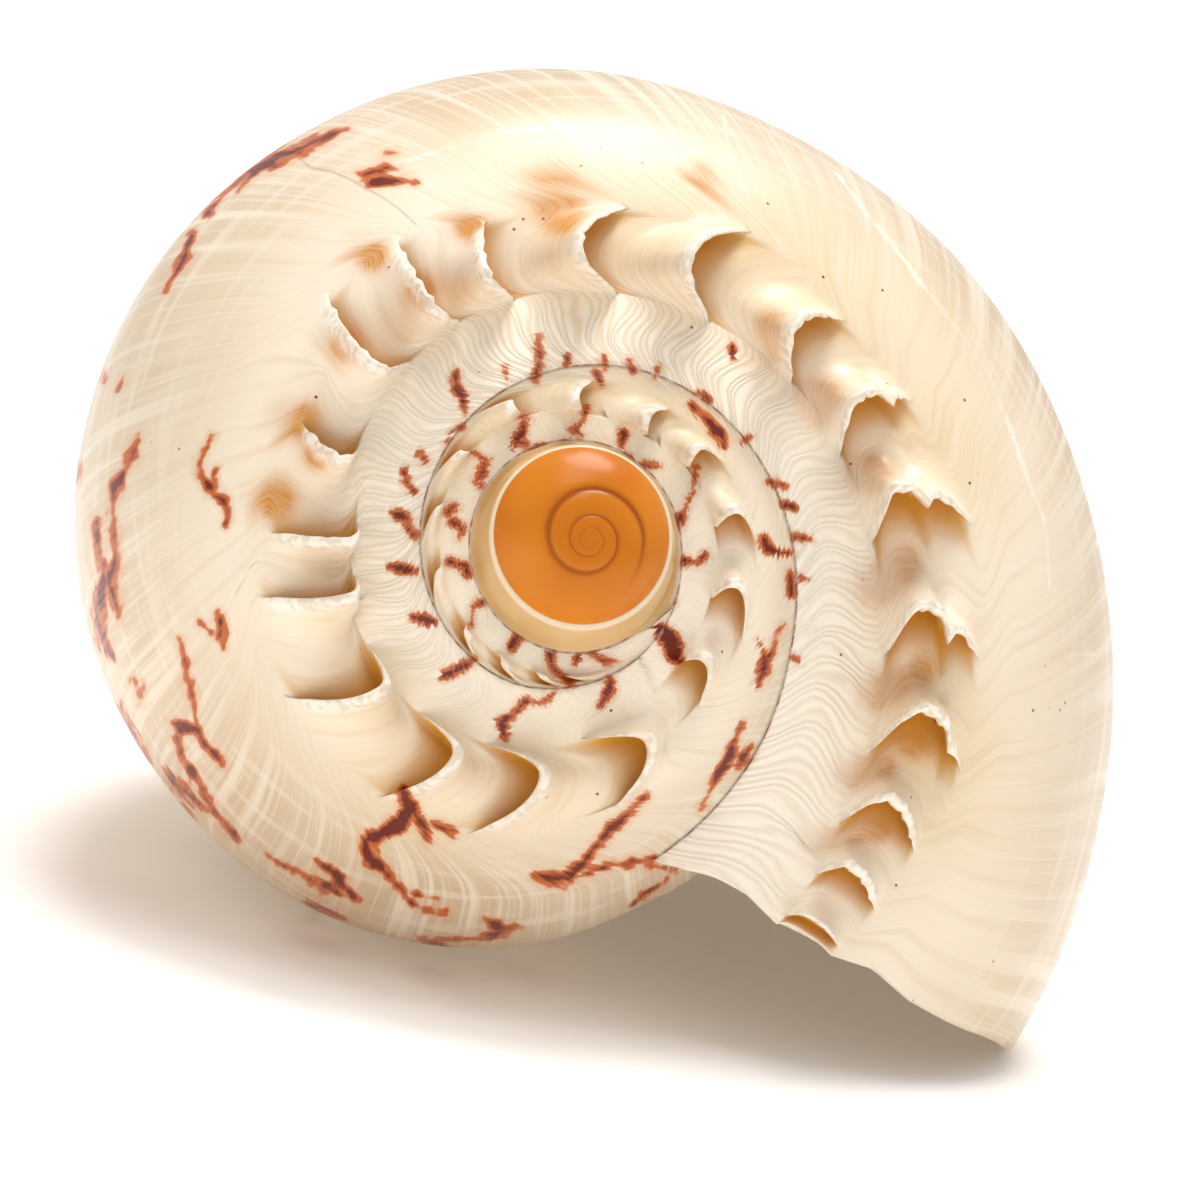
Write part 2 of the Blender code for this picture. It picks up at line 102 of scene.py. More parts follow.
# Spines: growth angle of the rim's back, then in millimetres its place out from the spine row,
# width inward and outward, length of the inner and outer flank, and height. A few rims have a
# tooth, given by its place out from the spine row and its length.
SPINES = (
    (180, 0.0, 1.4, 2.2, 1.5, 2.5, 2.6),
    (194, 0.0, 1.4, 2.4, 1.5, 2.5, 2.8),
    (211, 0.1, 1.5, 2.6, 1.8, 2.8, 3.0),
    (231, 0.1, 1.5, 2.6, 1.8, 3.0, 3.2),
    (257, 0.1, 1.6, 2.6, 2.0, 3.0, 3.4),
    (282, 0.1, 1.6, 2.6, 2.0, 3.0, 3.6),
    (306, -0.2, 1.6, 2.8, 2.0, 3.0, 3.6),
    (333, -0.7, 1.6, 2.8, 1.6, 2.6, 3.6),
    (358, -1.5, 1.6, 3.0, 1.2, 3.2, 3.8),
    (387, -1.4, 1.8, 3.0, 1.2, 2.6, 4.0),
    (409, -0.8, 1.8, 2.8, 1.2, 3.8, 4.6),
    (435, -0.4, 2.2, 3.2, 1.4, 4.6, 5.2),
    (461.5, -0.8, 2.2, 3.8, 2.2, 6.0, 5.8),
    (490, -0.8, 2.2, 3.6, 2.4, 3.6, 6.6),
    (519.5, 0.8, 2.5, 6.6, 8.0, 5.0, 8.0),
    (548.5, 1.4, 2.8, 8.2, 7.5, 6.6, 8.6),
    (570, 2.6, 3.1, 7.6, 7.0, 4.6, 9.0),
    (593.5, 1.8, 2.5, 8.8, 6.2, 6.0, 9.2),
    (616.5, 0.0, 2.2, 9.4, 3.4, 3.2, 9.2),
    (630, -1.0, 2.2, 8.4, 3.4, 2.0, 9.2),
    (649.5, 0.3, 1.9, 5.6, 4.0, 3.8, 8.4),
    (671, 2.0, 3.2, 9.8, 5.6, 4.8, 9.6),
    (688.5, 2.0, 3.1, 9.6, 4.0, 2.8, 9.6),
    (701.5, 2.0, 3.2, 7.4, 4.6, 4.0, 9.8),
    (720.5, 2.8, 4.0, 7.4, 7.4, 8.0, 10.2),
    (741.5, 3.2, 4.2, 9.2, 7.4, 7.4, 10.4),
    (764.5, 2.6, 3.6, 7.4, 6.0, 4.6, 9.8),
    (781.5, 2.4, 3.7, 8.2, 6.0, 3.4, 9.8, 6.8, 1.6),
    (798.5, 0.8, 2.2, 12.0, 6.6, 5.6, 10.6, 4.8, 2.2),
    (818, 0.9, 2.4, 10.4, 7.0, 4.2, 9.6, 5.4, 2.6),
    (833, 2.2, 3.3, 8.6, 7.6, 4.0, 9.4, 7.6, 1.4),
    (846.5, 1.2, 3.0, 7.4, 6.0, 3.4, 7.6),
    (856.5, 0.8, 2.2, 7.0, 3.2, 3.2, 6.0),
    (865, 1.2, 2.4, 5.4, 1.6, 1.3, 4.4),
)

# The rim of a spine, and the pit in front of it: each step of the pit's profile is its distance
# forward in rim walls, in undercuts, its height up the rim, and its depth as a share of the pit's
RIM_WALL = 1.15
JAG_LENGTH = 0.16
UNDERCUT = 1.9
PIT_DEPTH = 1.4
PIT_STEPS = ((0.0, 0.0, 0.965, 0.0), (0.22, 0.0, 1.0, 0.0), (0.55, 0.0, 1.0, 0.0), (0.88, 0.0, 0.955, 0.0),
             (1.0, 0.0, 0.87, 0.0), (0.96, 0.0, 0.72, 0.0), (0.5, 0.0, 0.5, 0.1), (0.0, -0.3, 0.26, 0.3),
             (0.0, -0.85, 0.08, 0.6), (0.0, -1.0, 0.0, 0.88), (0.0, -0.6, 0.0, 1.0))
STEP_LENGTH = 0.12
RIM_COLUMNS = 4.4
FLOOR_END = 0.46
FLANK_FADE = 3.2
RAMP_FADE = 0.85
HOOD_IN = (3.6, 0.65)
HOOD_OUT = (1.7, 1.15)
TOOTH_WIDTH = 0.9
BACK_LOW = 0.62
EDGE_FADE = 1.3

# Wall, and the hollow inside it
WALL = 2.8
LIP_WALL = 1.5
LIP_TAPER = 24.0
LIP_ROUND = 0.45
GLAZE = 1.0
FOLDS = 4
FOLD_HEIGHT = 2.2
FOLD_PLACE = (0.44, 0.84)

# The notch at the front end
MOUTH_SIDE = 571.0
NOTCH_RADIUS = 15.0
NOTCH_DEPTH = 205.0
NOTCH_SHIFT = 13.0
NOTCH_REACH = 100.0
NOTCH_SLACK = 0.03

# The bud: radius of the orange dome, of the white ring and of the foot, and its spiral seam
DOME_RADIUS = 10.85
BUD_HEIGHT = 9.8
DOME_HEIGHT = 5.2
DOME_SHIFT = 1.15
DOME_ROUND = 0.93
SEAM_RADIUS = 7.0
SEAM_END = 90.0
SEAM_OPEN = 150.0
SEAM_TURNS = 4
SEAM_RATIO = 2.03
SEAM_DEPTH = 0.2
SEAM_BULGE = 0.3
# Rings under the dome's edge: radius, depth, place off the coil axis, and a level for the colour
BUD_RINGS = ((10.92, 5.42, 1.15, 0.95), (11.0, 5.5, 1.12, 0.85), (11.2, 5.55, 1.0, 0.7),
             (11.42, 5.75, 0.95, 0.6), (11.65, 6.15, 0.85, 0.5), (11.95, 6.9, 0.7, 0.45),
             (12.2, 7.7, 0.55, 0.42), (12.42, 8.5, 0.4, 0.4), (12.6, 9.3, 0.25, 0.38),
             (12.72, 9.75, 0.15, 0.35))

# Mesh density
BACK_COLUMNS = 13
SMALL_BACK_COLUMNS = 7
SMALL_SPINES = 7
FLOOR_COLUMNS = 7
RAMP_SHARES = (0.0, 0.02, 0.06, 0.13, 0.23, 0.34, 0.45, 0.57, 0.7, 0.84)
INNER_ROWS = (-1.25, -1.1, -1.0, -0.95, -0.86, -0.74, -0.58, -0.4, -0.2)
OUTER_ROWS = (0.0, 0.08, 0.17, 0.26, 0.35, 0.44, 0.53, 0.62, 0.71, 0.8, 0.88, 0.95, 1.02, 1.12)
SHOULDER_ROWS = 8
ROW_GAP = 0.16
LOWER_PITCH = 1.2
BELLY_ROWS = 16
LOWER_ROWS = 60
BUD_SIDES = 96
SEAM_ROWS = (0.0, 0.05, 0.12, 0.22, 0.35, 0.5, 0.65, 0.78, 0.88, 0.95)
HOLLOW_STEP = 6.0
HOLLOW_POINTS = 40
PILLAR_POINTS = 64
LIP_POINTS = 220
NOTCH_SIDES = 64


# Red-brown marks that the photograph shows: each is a line of points, given by their pixel in the
# photograph and the mark's half width there, in pixels too
MARKS = (
    # Upper left edge
    ((349, 129, 1), (328, 135, 3), (305, 146, 4), (288, 154, 3)),
    ((310, 150, 2), (280, 156, 6), (263, 165, 7), (244, 177, 4), (225, 192, 2), (207, 213, 2)),
    ((192, 234, 2), (184, 259, 3), (173, 278, 2), (163, 290, 1)),
    ((397, 167, 1), (378, 169, 3), (362, 176, 4)), ((370, 183, 3), (393, 180, 3), (418, 184, 1)),
    ((374, 156, 0.8), (395, 153, 0.8)),
    # Left side
    ((211, 435, 1), (207, 450, 1.6), (200, 462, 2.2), (202, 477, 1.6), (211, 487, 2.5), (213, 496, 2.2),
     (225, 500, 2.5), (228, 513, 1.8), (225, 525, 0.6)),
    ((215, 464, 0.8), (213, 481, 0.8)),
    ((140, 439, 0.8), (133, 454, 3), (125, 473, 3), (115, 485, 4), (112, 500, 3), (114, 519, 1.6),
     (115, 542, 2), (115, 560, 3), (112, 571, 5), (110, 587, 4), (117, 606, 3), (120, 619, 1)),
    ((96, 519, 1.5), (98, 542, 2), (102, 560, 3), (103, 583, 4), (98, 602, 5), (100, 625, 5),
     (102, 644, 3), (114, 660, 1)),
    ((106, 374, 1.5), (104, 381, 1)), ((123, 376, 1), (119, 389, 0.8)), ((79, 462, 1), (77, 485, 1)),
    ((219, 613, 3), (223, 629, 5), (217, 637, 5), (223, 648, 1.5)), ((200, 623, 1.5), (211, 632, 2.5)),
    ((179, 638, 1.5), (184, 656, 1.5), (188, 679, 2), (194, 702, 1.8), (197, 725, 2), (205, 744, 3),
     (217, 755, 3), (221, 765, 0.8)),
    ((133, 679, 1), (138, 690, 2.4), (145, 703, 1)),
    ((119, 705, 1), (129, 725, 2), (138, 744, 2), (150, 761, 1)),
    ((172, 722, 3), (180, 728, 7), (196, 728, 4), (202, 740, 2)),
    ((176, 736, 3), (182, 755, 3), (192, 774, 3.5), (202, 793, 3.5), (213, 809, 3), (228, 828, 2),
     (240, 841, 0.8)),
    ((167, 769, 2), (178, 786, 5), (190, 797, 4), (209, 812, 1.5)), ((182, 805, 2), (192, 824, 2.4)),
    # Lower left edge
    ((267, 857, 0.8), (290, 868, 1.4), (309, 878, 3), (328, 889, 4), (345, 898, 2)),
    ((313, 858, 1), (332, 872, 4), (343, 885, 4), (355, 898, 1)),
    ((309, 901, 2), (324, 912, 3.5), (345, 920, 1)),
    # The dark diamond and the zigzag below it
    ((404, 792, 5), (410, 809, 10), (397, 824, 9), (381, 834, 5.5), (364, 841, 5), (368, 858, 5),
     (385, 872, 3.5), (401, 889, 3), (412, 904, 3.5), (427, 908, 3.5), (446, 911, 1)),
    ((414, 814, 5), (424, 828, 4.5), (430, 842, 2.5)), ((431, 824, 1.5), (454, 832, 1.2)),
    ((404, 893, 1.5), (437, 899, 0.8)), ((416, 939, 1), (435, 943, 3), (446, 948, 3), (427, 951, 2)),
    ((446, 942, 1), (473, 939, 1.3), (500, 933, 4.5), (517, 927, 2)), ((485, 918, 1.5), (497, 928, 3.5)),
    # Lower middle
    ((644, 796, 5), (634, 808, 6), (622, 820, 5), (607, 832, 2.5), (596, 845, 2.5), (584, 862, 3),
     (569, 880, 5), (538, 876, 5)),
    ((569, 880, 2), (596, 870, 2.2), (619, 864, 3.5), (638, 862, 1.8), (651, 858, 1)),
    ((630, 904, 1.2), (640, 897, 1.8), (651, 889, 1.2), (677, 873, 1.2)),
    ((650, 866, 1.8), (679, 870, 1.4)),
    ((556, 692, 1.5), (542, 702, 2.5), (525, 702, 3.5), (515, 713, 2.8), (500, 723, 4), (505, 737, 3)),
    ((611, 682, 4), (607, 694, 4.5), (600, 706, 2)),
    # Between the suture and the spines
    ((537, 336, 1.5), (541, 356, 4.5), (535, 378, 2.5)),
    ((456, 374, 4), (456, 385, 2.5), (462, 397, 4), (465, 413, 2.5)), ((505, 370, 3), (507, 380, 2.5)),
    ((404, 473, 2.5), (407, 483, 3), (414, 492, 2)), ((421, 454, 2.2), (426, 460, 2.6)),
    ((393, 513, 2), (408, 518, 3.4), (407, 527, 2.6), (413, 535, 2.2)),
    ((460, 427, 3), (450, 433, 2.4), (446, 443, 1.6)), ((391, 566, 2), (402, 568, 4), (415, 572, 3)),
    ((411, 616, 2.4), (422, 619, 4), (434, 621, 2)), ((445, 675, 3), (460, 669, 4), (476, 660, 2)),
    ((568, 357, 1.8), (567, 365, 1)), ((604, 357, 2), (606, 369, 1.4)),
    ((629, 360, 2.2), (634, 370, 3.4)), ((658, 367, 1.8), (654, 378, 1.2)),
    ((732, 345, 1.8), (733, 357, 2.2)), ((690, 403, 1.5), (706, 419, 4), (719, 432, 4), (726, 445, 1.5)),
    ((700, 393, 2), (707, 399, 2.6)), ((745, 441, 2), (751, 437, 2)),
    ((769, 482, 3.2), (776, 483, 3.8), (784, 485, 1.6)), ((786, 505, 2), (793, 507, 2)),
    ((795, 537, 3), (802, 538, 3.6), (811, 540, 1.4)), ((801, 577, 2), (809, 579, 1.6)),
    ((792, 658, 1.8), (800, 662, 1.4)), ((790, 572, 1.6), (791, 596, 1.4)),
    # First whorl
    ((586, 408, 1.5), (584, 420, 4), (575, 431, 3.6), (583, 435, 2.5)),
    ((525, 420, 3.6), (523, 433, 4), (515, 441, 3), (526, 444, 3)),
    ((475, 452, 2), (485, 460, 4), (483, 473, 4.4), (476, 481, 3), (482, 486, 2)),
    ((624, 434, 4.4), (621, 446, 3)), ((596, 374, 3), (601, 383, 2)),
    ((564, 442, 1), (545, 445, 3.2), (530, 449, 1)), ((625, 453, 1), (632, 460, 2.6), (638, 466, 1)),
    ((644, 465, 4), (651, 468, 4), (659, 467, 1.6)), ((454, 506, 3), (448, 512, 2)),
    ((454, 523, 2.4), (462, 529, 4), (459, 539, 2)), ((450, 562, 2), (466, 566, 4), (468, 575, 2)),
    ((484, 602, 3.4), (473, 608, 3), (471, 624, 1.6)), ((518, 636, 4), (510, 646, 2.6)),
    ((550, 652, 3.6), (552, 666, 4), (561, 675, 2.6), (570, 683, 3)),
    ((592, 652, 4), (600, 660, 3.2), (622, 661, 0.8)), ((578, 656, 2.6), (575, 664, 2)),
    ((696, 468, 1), (694, 491, 1.6), (683, 514, 3), (673, 527, 4)),
    ((685, 560, 3.4), (698, 562, 2.6), (706, 554, 1.4)), ((669, 583, 2.6), (673, 602, 1.6)),
    ((646, 624, 4), (658, 627, 8), (669, 638, 8), (674, 652, 7), (679, 662, 4)),
    ((664, 612, 3), (658, 622, 5)), ((765, 538, 2.4), (766, 549, 4), (778, 552, 3), (790, 553, 2)),
    ((759, 640, 2.4), (765, 656, 3.4), (763, 671, 5), (757, 686, 2)),
    ((782, 625, 1.6), (774, 648, 2.2), (767, 658, 2)),
    ((742, 725, 2), (732, 744, 4), (725, 763, 4), (715, 782, 2), (702, 805, 0.8)),
    ((751, 746, 2.4), (738, 768, 1.6)),
)
# Pale lines along the whorl, and a healed scar of the lip
PALE_LINES = (
    ((389, 165, 0.3), (443, 150, 0.7), (500, 133, 1), (557, 127, 1), (610, 128, 0.8), (660, 132, 0.3)),
    ((835, 171, 0.3), (885, 236, 0.8), (927, 290, 1), (962, 335, 1), (989, 374, 1.2), (1008, 423, 1),
     (1023, 466, 1.2), (1046, 527, 0.8), (1050, 590, 0.3)),
    ((724, 113, 0.5), (727, 145, 0.9), (735, 170, 0.9), (752, 205, 0.3)),
    ((1066, 657, 0.5), (1085, 652, 0.8), (1100, 655, 0.5)),
)
SCARS = (
    ((290, 150, 0.3), (305, 167, 0.9), (324, 169, 0.5), (343, 175, 0.8), (358, 184, 1.2), (381, 196, 0.8),
     (397, 207, 0.6), (408, 217, 1), (419, 227, 0.4)),
)
MARK_LAYERS = 5
STROKE_LAYERS = ("pale_line", "scar") + tuple(f"mark_{k}" for k in range(MARK_LAYERS))
STROKE_POINTS = 24
# The photograph's marks go on what faces its camera; other points are put far outside the picture
FACING = 0.04
NOWHERE = -1e5
# How far from a mark its values are kept, in pixels; near the bud it is less, as the whorls are close
MARK_REACH = 24.0
NEAR_BUD = 260.0
NEAR_REACH = 9.0
FAR_OFF = 60.0

# Marks on the sides that the photograph doesn't show: rows of zigzags along the whorl, which is
# laid out flat at one radius; steps and half widths are in pixels
HIDDEN_SEED = 7
HIDDEN_MARKS = 46
HIDDEN_ROWS = (56.0, 67.0, 78.0, 89.0)
HIDDEN_START = 540.0
HIDDEN_RADIUS = 75.0
HIDDEN_ACROSS = 48.0
HIDDEN_GROWTH = 535.0
HIDDEN_STEP = (14.0, 34.0)
HIDDEN_HALF_WIDTH = (2.0, 6.5)

# Painted shade, soft and tan, in the valleys beside the last hoods: pixel and radius in pixels
VALLEY_SHADE_STRENGTH = 1.8
VALLEY_SHADE_SPREAD = 1.15
VALLEY_SHADE_SPOTS = ((556, 190, 20), (562, 215, 16), (470, 225, 13), (372, 255, 13), (700, 180, 12), (770, 326, 12),
             (779, 350, 12), (808, 392, 12), (817, 413, 13), (830, 395, 10), (862, 470, 15), (880, 478, 13),
             (872, 590, 14), (888, 577, 17), (905, 560, 13), (874, 696, 12), (893, 684, 14), (925, 668, 12),
             (848, 777, 11), (866, 768, 12), (884, 765, 9), (812, 843, 9), (834, 838, 10), (853, 833, 9),
             (300, 420, 16), (276, 500, 16), (318, 455, 12), (420, 290, 14), (345, 345, 14), (912, 740, 14),
             (876, 828, 12))


def at(knots, growth):
    """Values at growth angles of a smooth line through the knots."""
    xs, ys = np.array(knots, float).T
    growth = np.asarray(growth, float)
    steps = np.diff(ys) / np.diff(xs)
    before, after = steps[:-1], steps[1:]
    both = before + after
    middle = np.where(before * after > 0.0, 2.0 * before * after / np.where(both == 0.0, 1.0, both), 0.0)
    tangents = np.concatenate(([steps[0]], middle, [steps[-1]]))
    i = np.clip(np.searchsorted(xs, growth, side="right") - 1, 0, len(xs) - 2)
    run = xs[i + 1] - xs[i]
    share = np.clip((growth - xs[i]) / run, 0.0, 1.0)
    result = (1 + 2 * share) * (1 - share) ** 2 * ys[i] + share * (1 - share) ** 2 * run * tangents[i]
    result += share ** 2 * (3 - 2 * share) * ys[i + 1] + share ** 2 * (share - 1) * run * tangents[i + 1]
    return result + np.maximum(growth - xs[-1], 0.0) * steps[-1]


def smooth(low, high, value):
    """0 below low, 1 above high and a soft step between."""
    share = np.clip((np.asarray(value, float) - low) / (high - low), 0.0, 1.0)
    return share * share * (3.0 - 2.0 * share)


def lean_of(growth, ways):
    """How far a growth line lies behind its growth angle; the lip itself is drawn straighter."""
    pull = LIP_PULL * np.exp(-((ways - LIP_PULL_WAY) / LIP_PULL_SPREAD) ** 2)
    return at(LIP_LEAN, ways) + pull * smooth(LIP - LIP_PULL_LENGTH, LIP, growth)


def early_whorls(growth):
    """Size of the early whorls against the body whorl's start, and where the body whorl has begun."""
    growth = np.asarray(growth, float)
    shrink = EARLY_EXPANSION ** (np.minimum(growth - BELLY_START, 0.0) / 360.0)
    return shrink, growth >= BELLY_START


def belly(growth):
    """Radius and z of the widest line of the whorl."""
    shrink, late = early_whorls(growth)
    radius = np.where(late, at(BELLY_RADIUS, growth), BELLY_RADIUS[0][1] * shrink)
    z = np.where(late, -at(BELLY_DEPTH, growth), -BELLY_DEPTH[0][1] * shrink ** EARLY_DEPTH_POWER)
    return radius, z


def top_z(growth, radius, inner_z=None):
    """z of the plain upper side of a whorl, without spines, at a radius."""
    growth, radius = np.broadcast_arrays(np.asarray(growth, float), np.asarray(radius, float))
    spine_r = at(SPINE_RADIUS, growth)
    spine_z = -at(SPINE_FOOT_DEPTH, growth)
    inner_r = at(SUTURE_RADIUS, growth)
    if inner_z is None:
        inner_z = suture_z(growth)
    share = np.clip((radius - inner_r) / np.maximum(spine_r - inner_r, 0.1), 0.0, 1.0)
    belly_r, belly_z = belly(growth)
    sine = np.clip((radius - spine_r) / (belly_r - spine_r), 0.0, 1.0)
    outside = spine_z + (belly_z - spine_z) * (1.0 - np.sqrt(1.0 - sine * sine))
    return np.where(radius <= spine_r, inner_z + (spine_z - inner_z) * share, outside)


def first_suture_z(growth):
    return -BUD_HEIGHT - FIRST_TURN_DROP * (growth - SPIRE_START) / 360.0


def suture_z(growth):
    """z of the inner edge of a whorl, which lies on the whorl before it."""
    growth = np.asarray(growth, float)
    early = first_suture_z(growth)
    before = growth - 360.0
    radius = at(SUTURE_RADIUS, growth)
    late = top_z(before, radius, first_suture_z(before)) + SUTURE_STEP
    return np.where(growth < SPIRE_START + 360.0, early, late)


def outer_radius(growth, z):
    """Radius of the lower side of a whorl at a z below its widest line."""
    belly_r, belly_z = belly(growth)
    shrink, late = early_whorls(growth)
    front_z = -np.where(late, at(FRONT_DEPTH, growth), FRONT_DEPTH[0][1] * shrink)
    early_pillar = PILLAR_RADIUS[0][1] * np.maximum(shrink, EARLY_PILLAR_SHARE)
    pillar = np.where(late, at(PILLAR_RADIUS, growth), early_pillar)
    share = np.clip((belly_z - z) / (belly_z - front_z), 0.0, 1.0)
    radius = pillar + (belly_r - pillar) * (1.0 - share ** TAPER_POWER) ** TAPER_ROUND
    close = np.clip((z + TIP_DEPTH) / TIP_CLOSE, 0.0, 1.0)
    return radius * np.sqrt(1.0 - (1.0 - close) ** 2)


def radius_at(angle, z):
    """Radius of a whorl's outer side at a z below its spine row."""
    belly_r, belly_z = belly(angle)
    spine_r = at(SPINE_RADIUS, angle)
    spine_z = -at(SPINE_FOOT_DEPTH, angle)
    drop = np.clip((spine_z - z) / (spine_z - belly_z), 0.0, 1.0)
    above = spine_r + (belly_r - spine_r) * np.sqrt(1.0 - (1.0 - drop) ** 2)
    return np.where(z <= belly_z, outer_radius(angle, z), above)


def edge_radius(angle):
    """Radius of the row that is the suture's foot on the spire and then runs on over the belly."""
    angle = np.asarray(angle, float)
    end = BELLY_START
    start_share = (at(SUTURE_RADIUS, LIP) - at(SPINE_RADIUS, end)) / (belly(end)[0] - at(SPINE_RADIUS, end))
    share = start_share + (EDGE_SHARE - start_share) * np.clip((angle - end) / EDGE_TURN, 0.0, 1.0)
    late = at(SPINE_RADIUS, angle) + (belly(angle)[0] - at(SPINE_RADIUS, angle)) * share
    return np.where(angle <= end, at(SUTURE_RADIUS, angle + 360.0), late)


def place(angle, radius, z):
    """Points of the shell's own frame, one to a row."""
    a = np.radians(angle)
    return np.stack(np.broadcast_arrays(radius * np.sin(a), radius * np.cos(a), z), -1)


def row_knots(angle):
    """Radii at the suture, inner side, middle and outer side of the spine band, and at the edge."""
    inner, spine, edge = at(SUTURE_RADIUS, angle), at(SPINE_RADIUS, angle), edge_radius(angle)
    half = at(BAND_HALF, angle)
    knots = [inner]
    for i, wanted in enumerate((spine - half, spine, spine + half)):
        share = np.clip((wanted - inner) / (edge - inner), 0.2 * (i + 1), 1.0 - 0.2 * (3 - i))
        knots.append(inner + (edge - inner) * share)
    return knots + [edge]


def radius_of(angle, way):
    """Radius on the upper side at a way along the growth line."""
    knots = row_knots(angle)
    quarter = EDGE_WAY / 4.0
    radius = knots[0]
    for i in range(4):
        radius = radius + (knots[i + 1] - knots[i]) * np.clip(way / quarter - i, 0.0, 1.0)
    return radius


def way_of(angle, radius):
    """Way along the growth line at a radius on the upper side."""
    knots = row_knots(angle)
    parts = [np.clip((radius - a) / (b - a), 0.0, 1.0) for a, b in zip(knots, knots[1:])]
    return EDGE_WAY / 4.0 * sum(parts)


def degrees_of(length, radius):
    return np.degrees(length / radius)


SPINE_TABLE = np.array([tuple(s) + (0.0, 0.0) * (len(s) == 7) for s in SPINES], float).T
RIM_GROWTH, APEX, IN_WIDTH, OUT_WIDTH, IN_FLANK, OUT_FLANK, HEIGHT, TOOTH_AT, TOOTH = SPINE_TABLE
RIM_SPINE_R = at(SPINE_RADIUS, RIM_GROWTH)
RAMP_WIDTH = RIM_SPINE_R + APEX - IN_WIDTH - at(SUTURE_RADIUS, RIM_GROWTH)
OWN = RIM_GROWTH + at(LIP_LEAN, APEX_WAY)
PIT, BACK, PLAIN = 0, 1, 2


def columns():
    """Each mesh column: growth, spine, kind, forward distance or share, height, depth and step.

    Growth is where the column lies away from the spines. A column of a pit gives its distance
    forward of the rim, and a column of a back gives its share of the way up to the rim.
    """
    found = []
    last = len(SPINES) - 1
    starts = np.concatenate(([SPIRE_START], OWN))
    ends = np.concatenate((OWN, [LIP]))
    for gap, (start, end) in enumerate(zip(starts, ends)):
        spine = gap - 1
        here = start
        if spine >= 0:
            spine_r = RIM_SPINE_R[spine]
            length = math.radians(end - start) * spine_r
            wall = min(RIM_WALL, 0.25 * length)
            cut = min(UNDERCUT, 0.3 * length)
            short = min(STEP_LENGTH, 0.03 * length)
            for step, (walls, cuts, rise, depth) in enumerate(PIT_STEPS):
                here = start + degrees_of(short * step, spine_r)
                found.append((here, spine, PIT, walls * wall + cuts * cut, rise, depth, step))
            first, low = here, found[-1][3]
            floor_length = (FLOOR_END if gap <= last else 0.9) * length
            for k in range(1, FLOOR_COLUMNS + 1):
                share = k / FLOOR_COLUMNS
                forward = low + (floor_length - low) * share ** 1.25
                here = first + (start + degrees_of(floor_length, spine_r) - first) * share
                found.append((here, spine, PIT, forward, 0.0, 1.0 - share ** 1.6, step + k))
        first = here
        if gap <= last:
            count = BACK_COLUMNS if gap > SMALL_SPINES else SMALL_BACK_COLUMNS
            for k in range(1 if gap else 0, count):
                share = 1.0 - (1.0 - k / count) ** 1.25
                found.append((first + (end - first) * share, gap, BACK, share, 0.0, 0.0, 0))
        else:
            found.append((end, last, PLAIN, 0.0, 0.0, 0.0, 0))
    return [np.array(v) for v in zip(*found)]


def rim_curve(spine, out):
    """How far forward of its back the rim of a spine is, at a distance out from the spine row."""
    a, w_in, w_out = APEX[spine], IN_WIDTH[spine], OUT_WIDTH[spine]
    inward = np.clip((a - out) / w_in, 0.0, 1.0)
    outward = np.clip((out - a) / w_out, 0.0, 1.0)
    leg = IN_FLANK[spine] * (1.0 - np.sqrt(1.0 - 0.985 * inward ** 2.4))
    leg = leg + OUT_FLANK[spine] * outward ** 2
    tooth = TOOTH[spine] * np.exp(-((out - TOOTH_AT[spine]) / TOOTH_WIDTH) ** 2)
    fade_in = 1.0 - smooth(0.0, 1.0, (a - w_in - out) / (RAMP_FADE * np.maximum(RAMP_WIDTH[spine], 1.0)))
    fade_out = 1.0 - smooth(0.0, 1.5 * FLANK_FADE, out - a - w_out)
    return (leg + tooth) * fade_in * fade_out


def hood(spine, out):
    """Height of a spine's rim across the spine row, as a share of its full height."""
    inward = np.clip((APEX[spine] - out) / IN_WIDTH[spine], 0.0, 1.0)
    outward = np.clip((out - APEX[spine]) / OUT_WIDTH[spine], 0.0, 1.0)
    return (1.0 - inward ** HOOD_IN[0]) ** HOOD_IN[1] * (1.0 - outward ** HOOD_OUT[0]) ** HOOD_OUT[1]


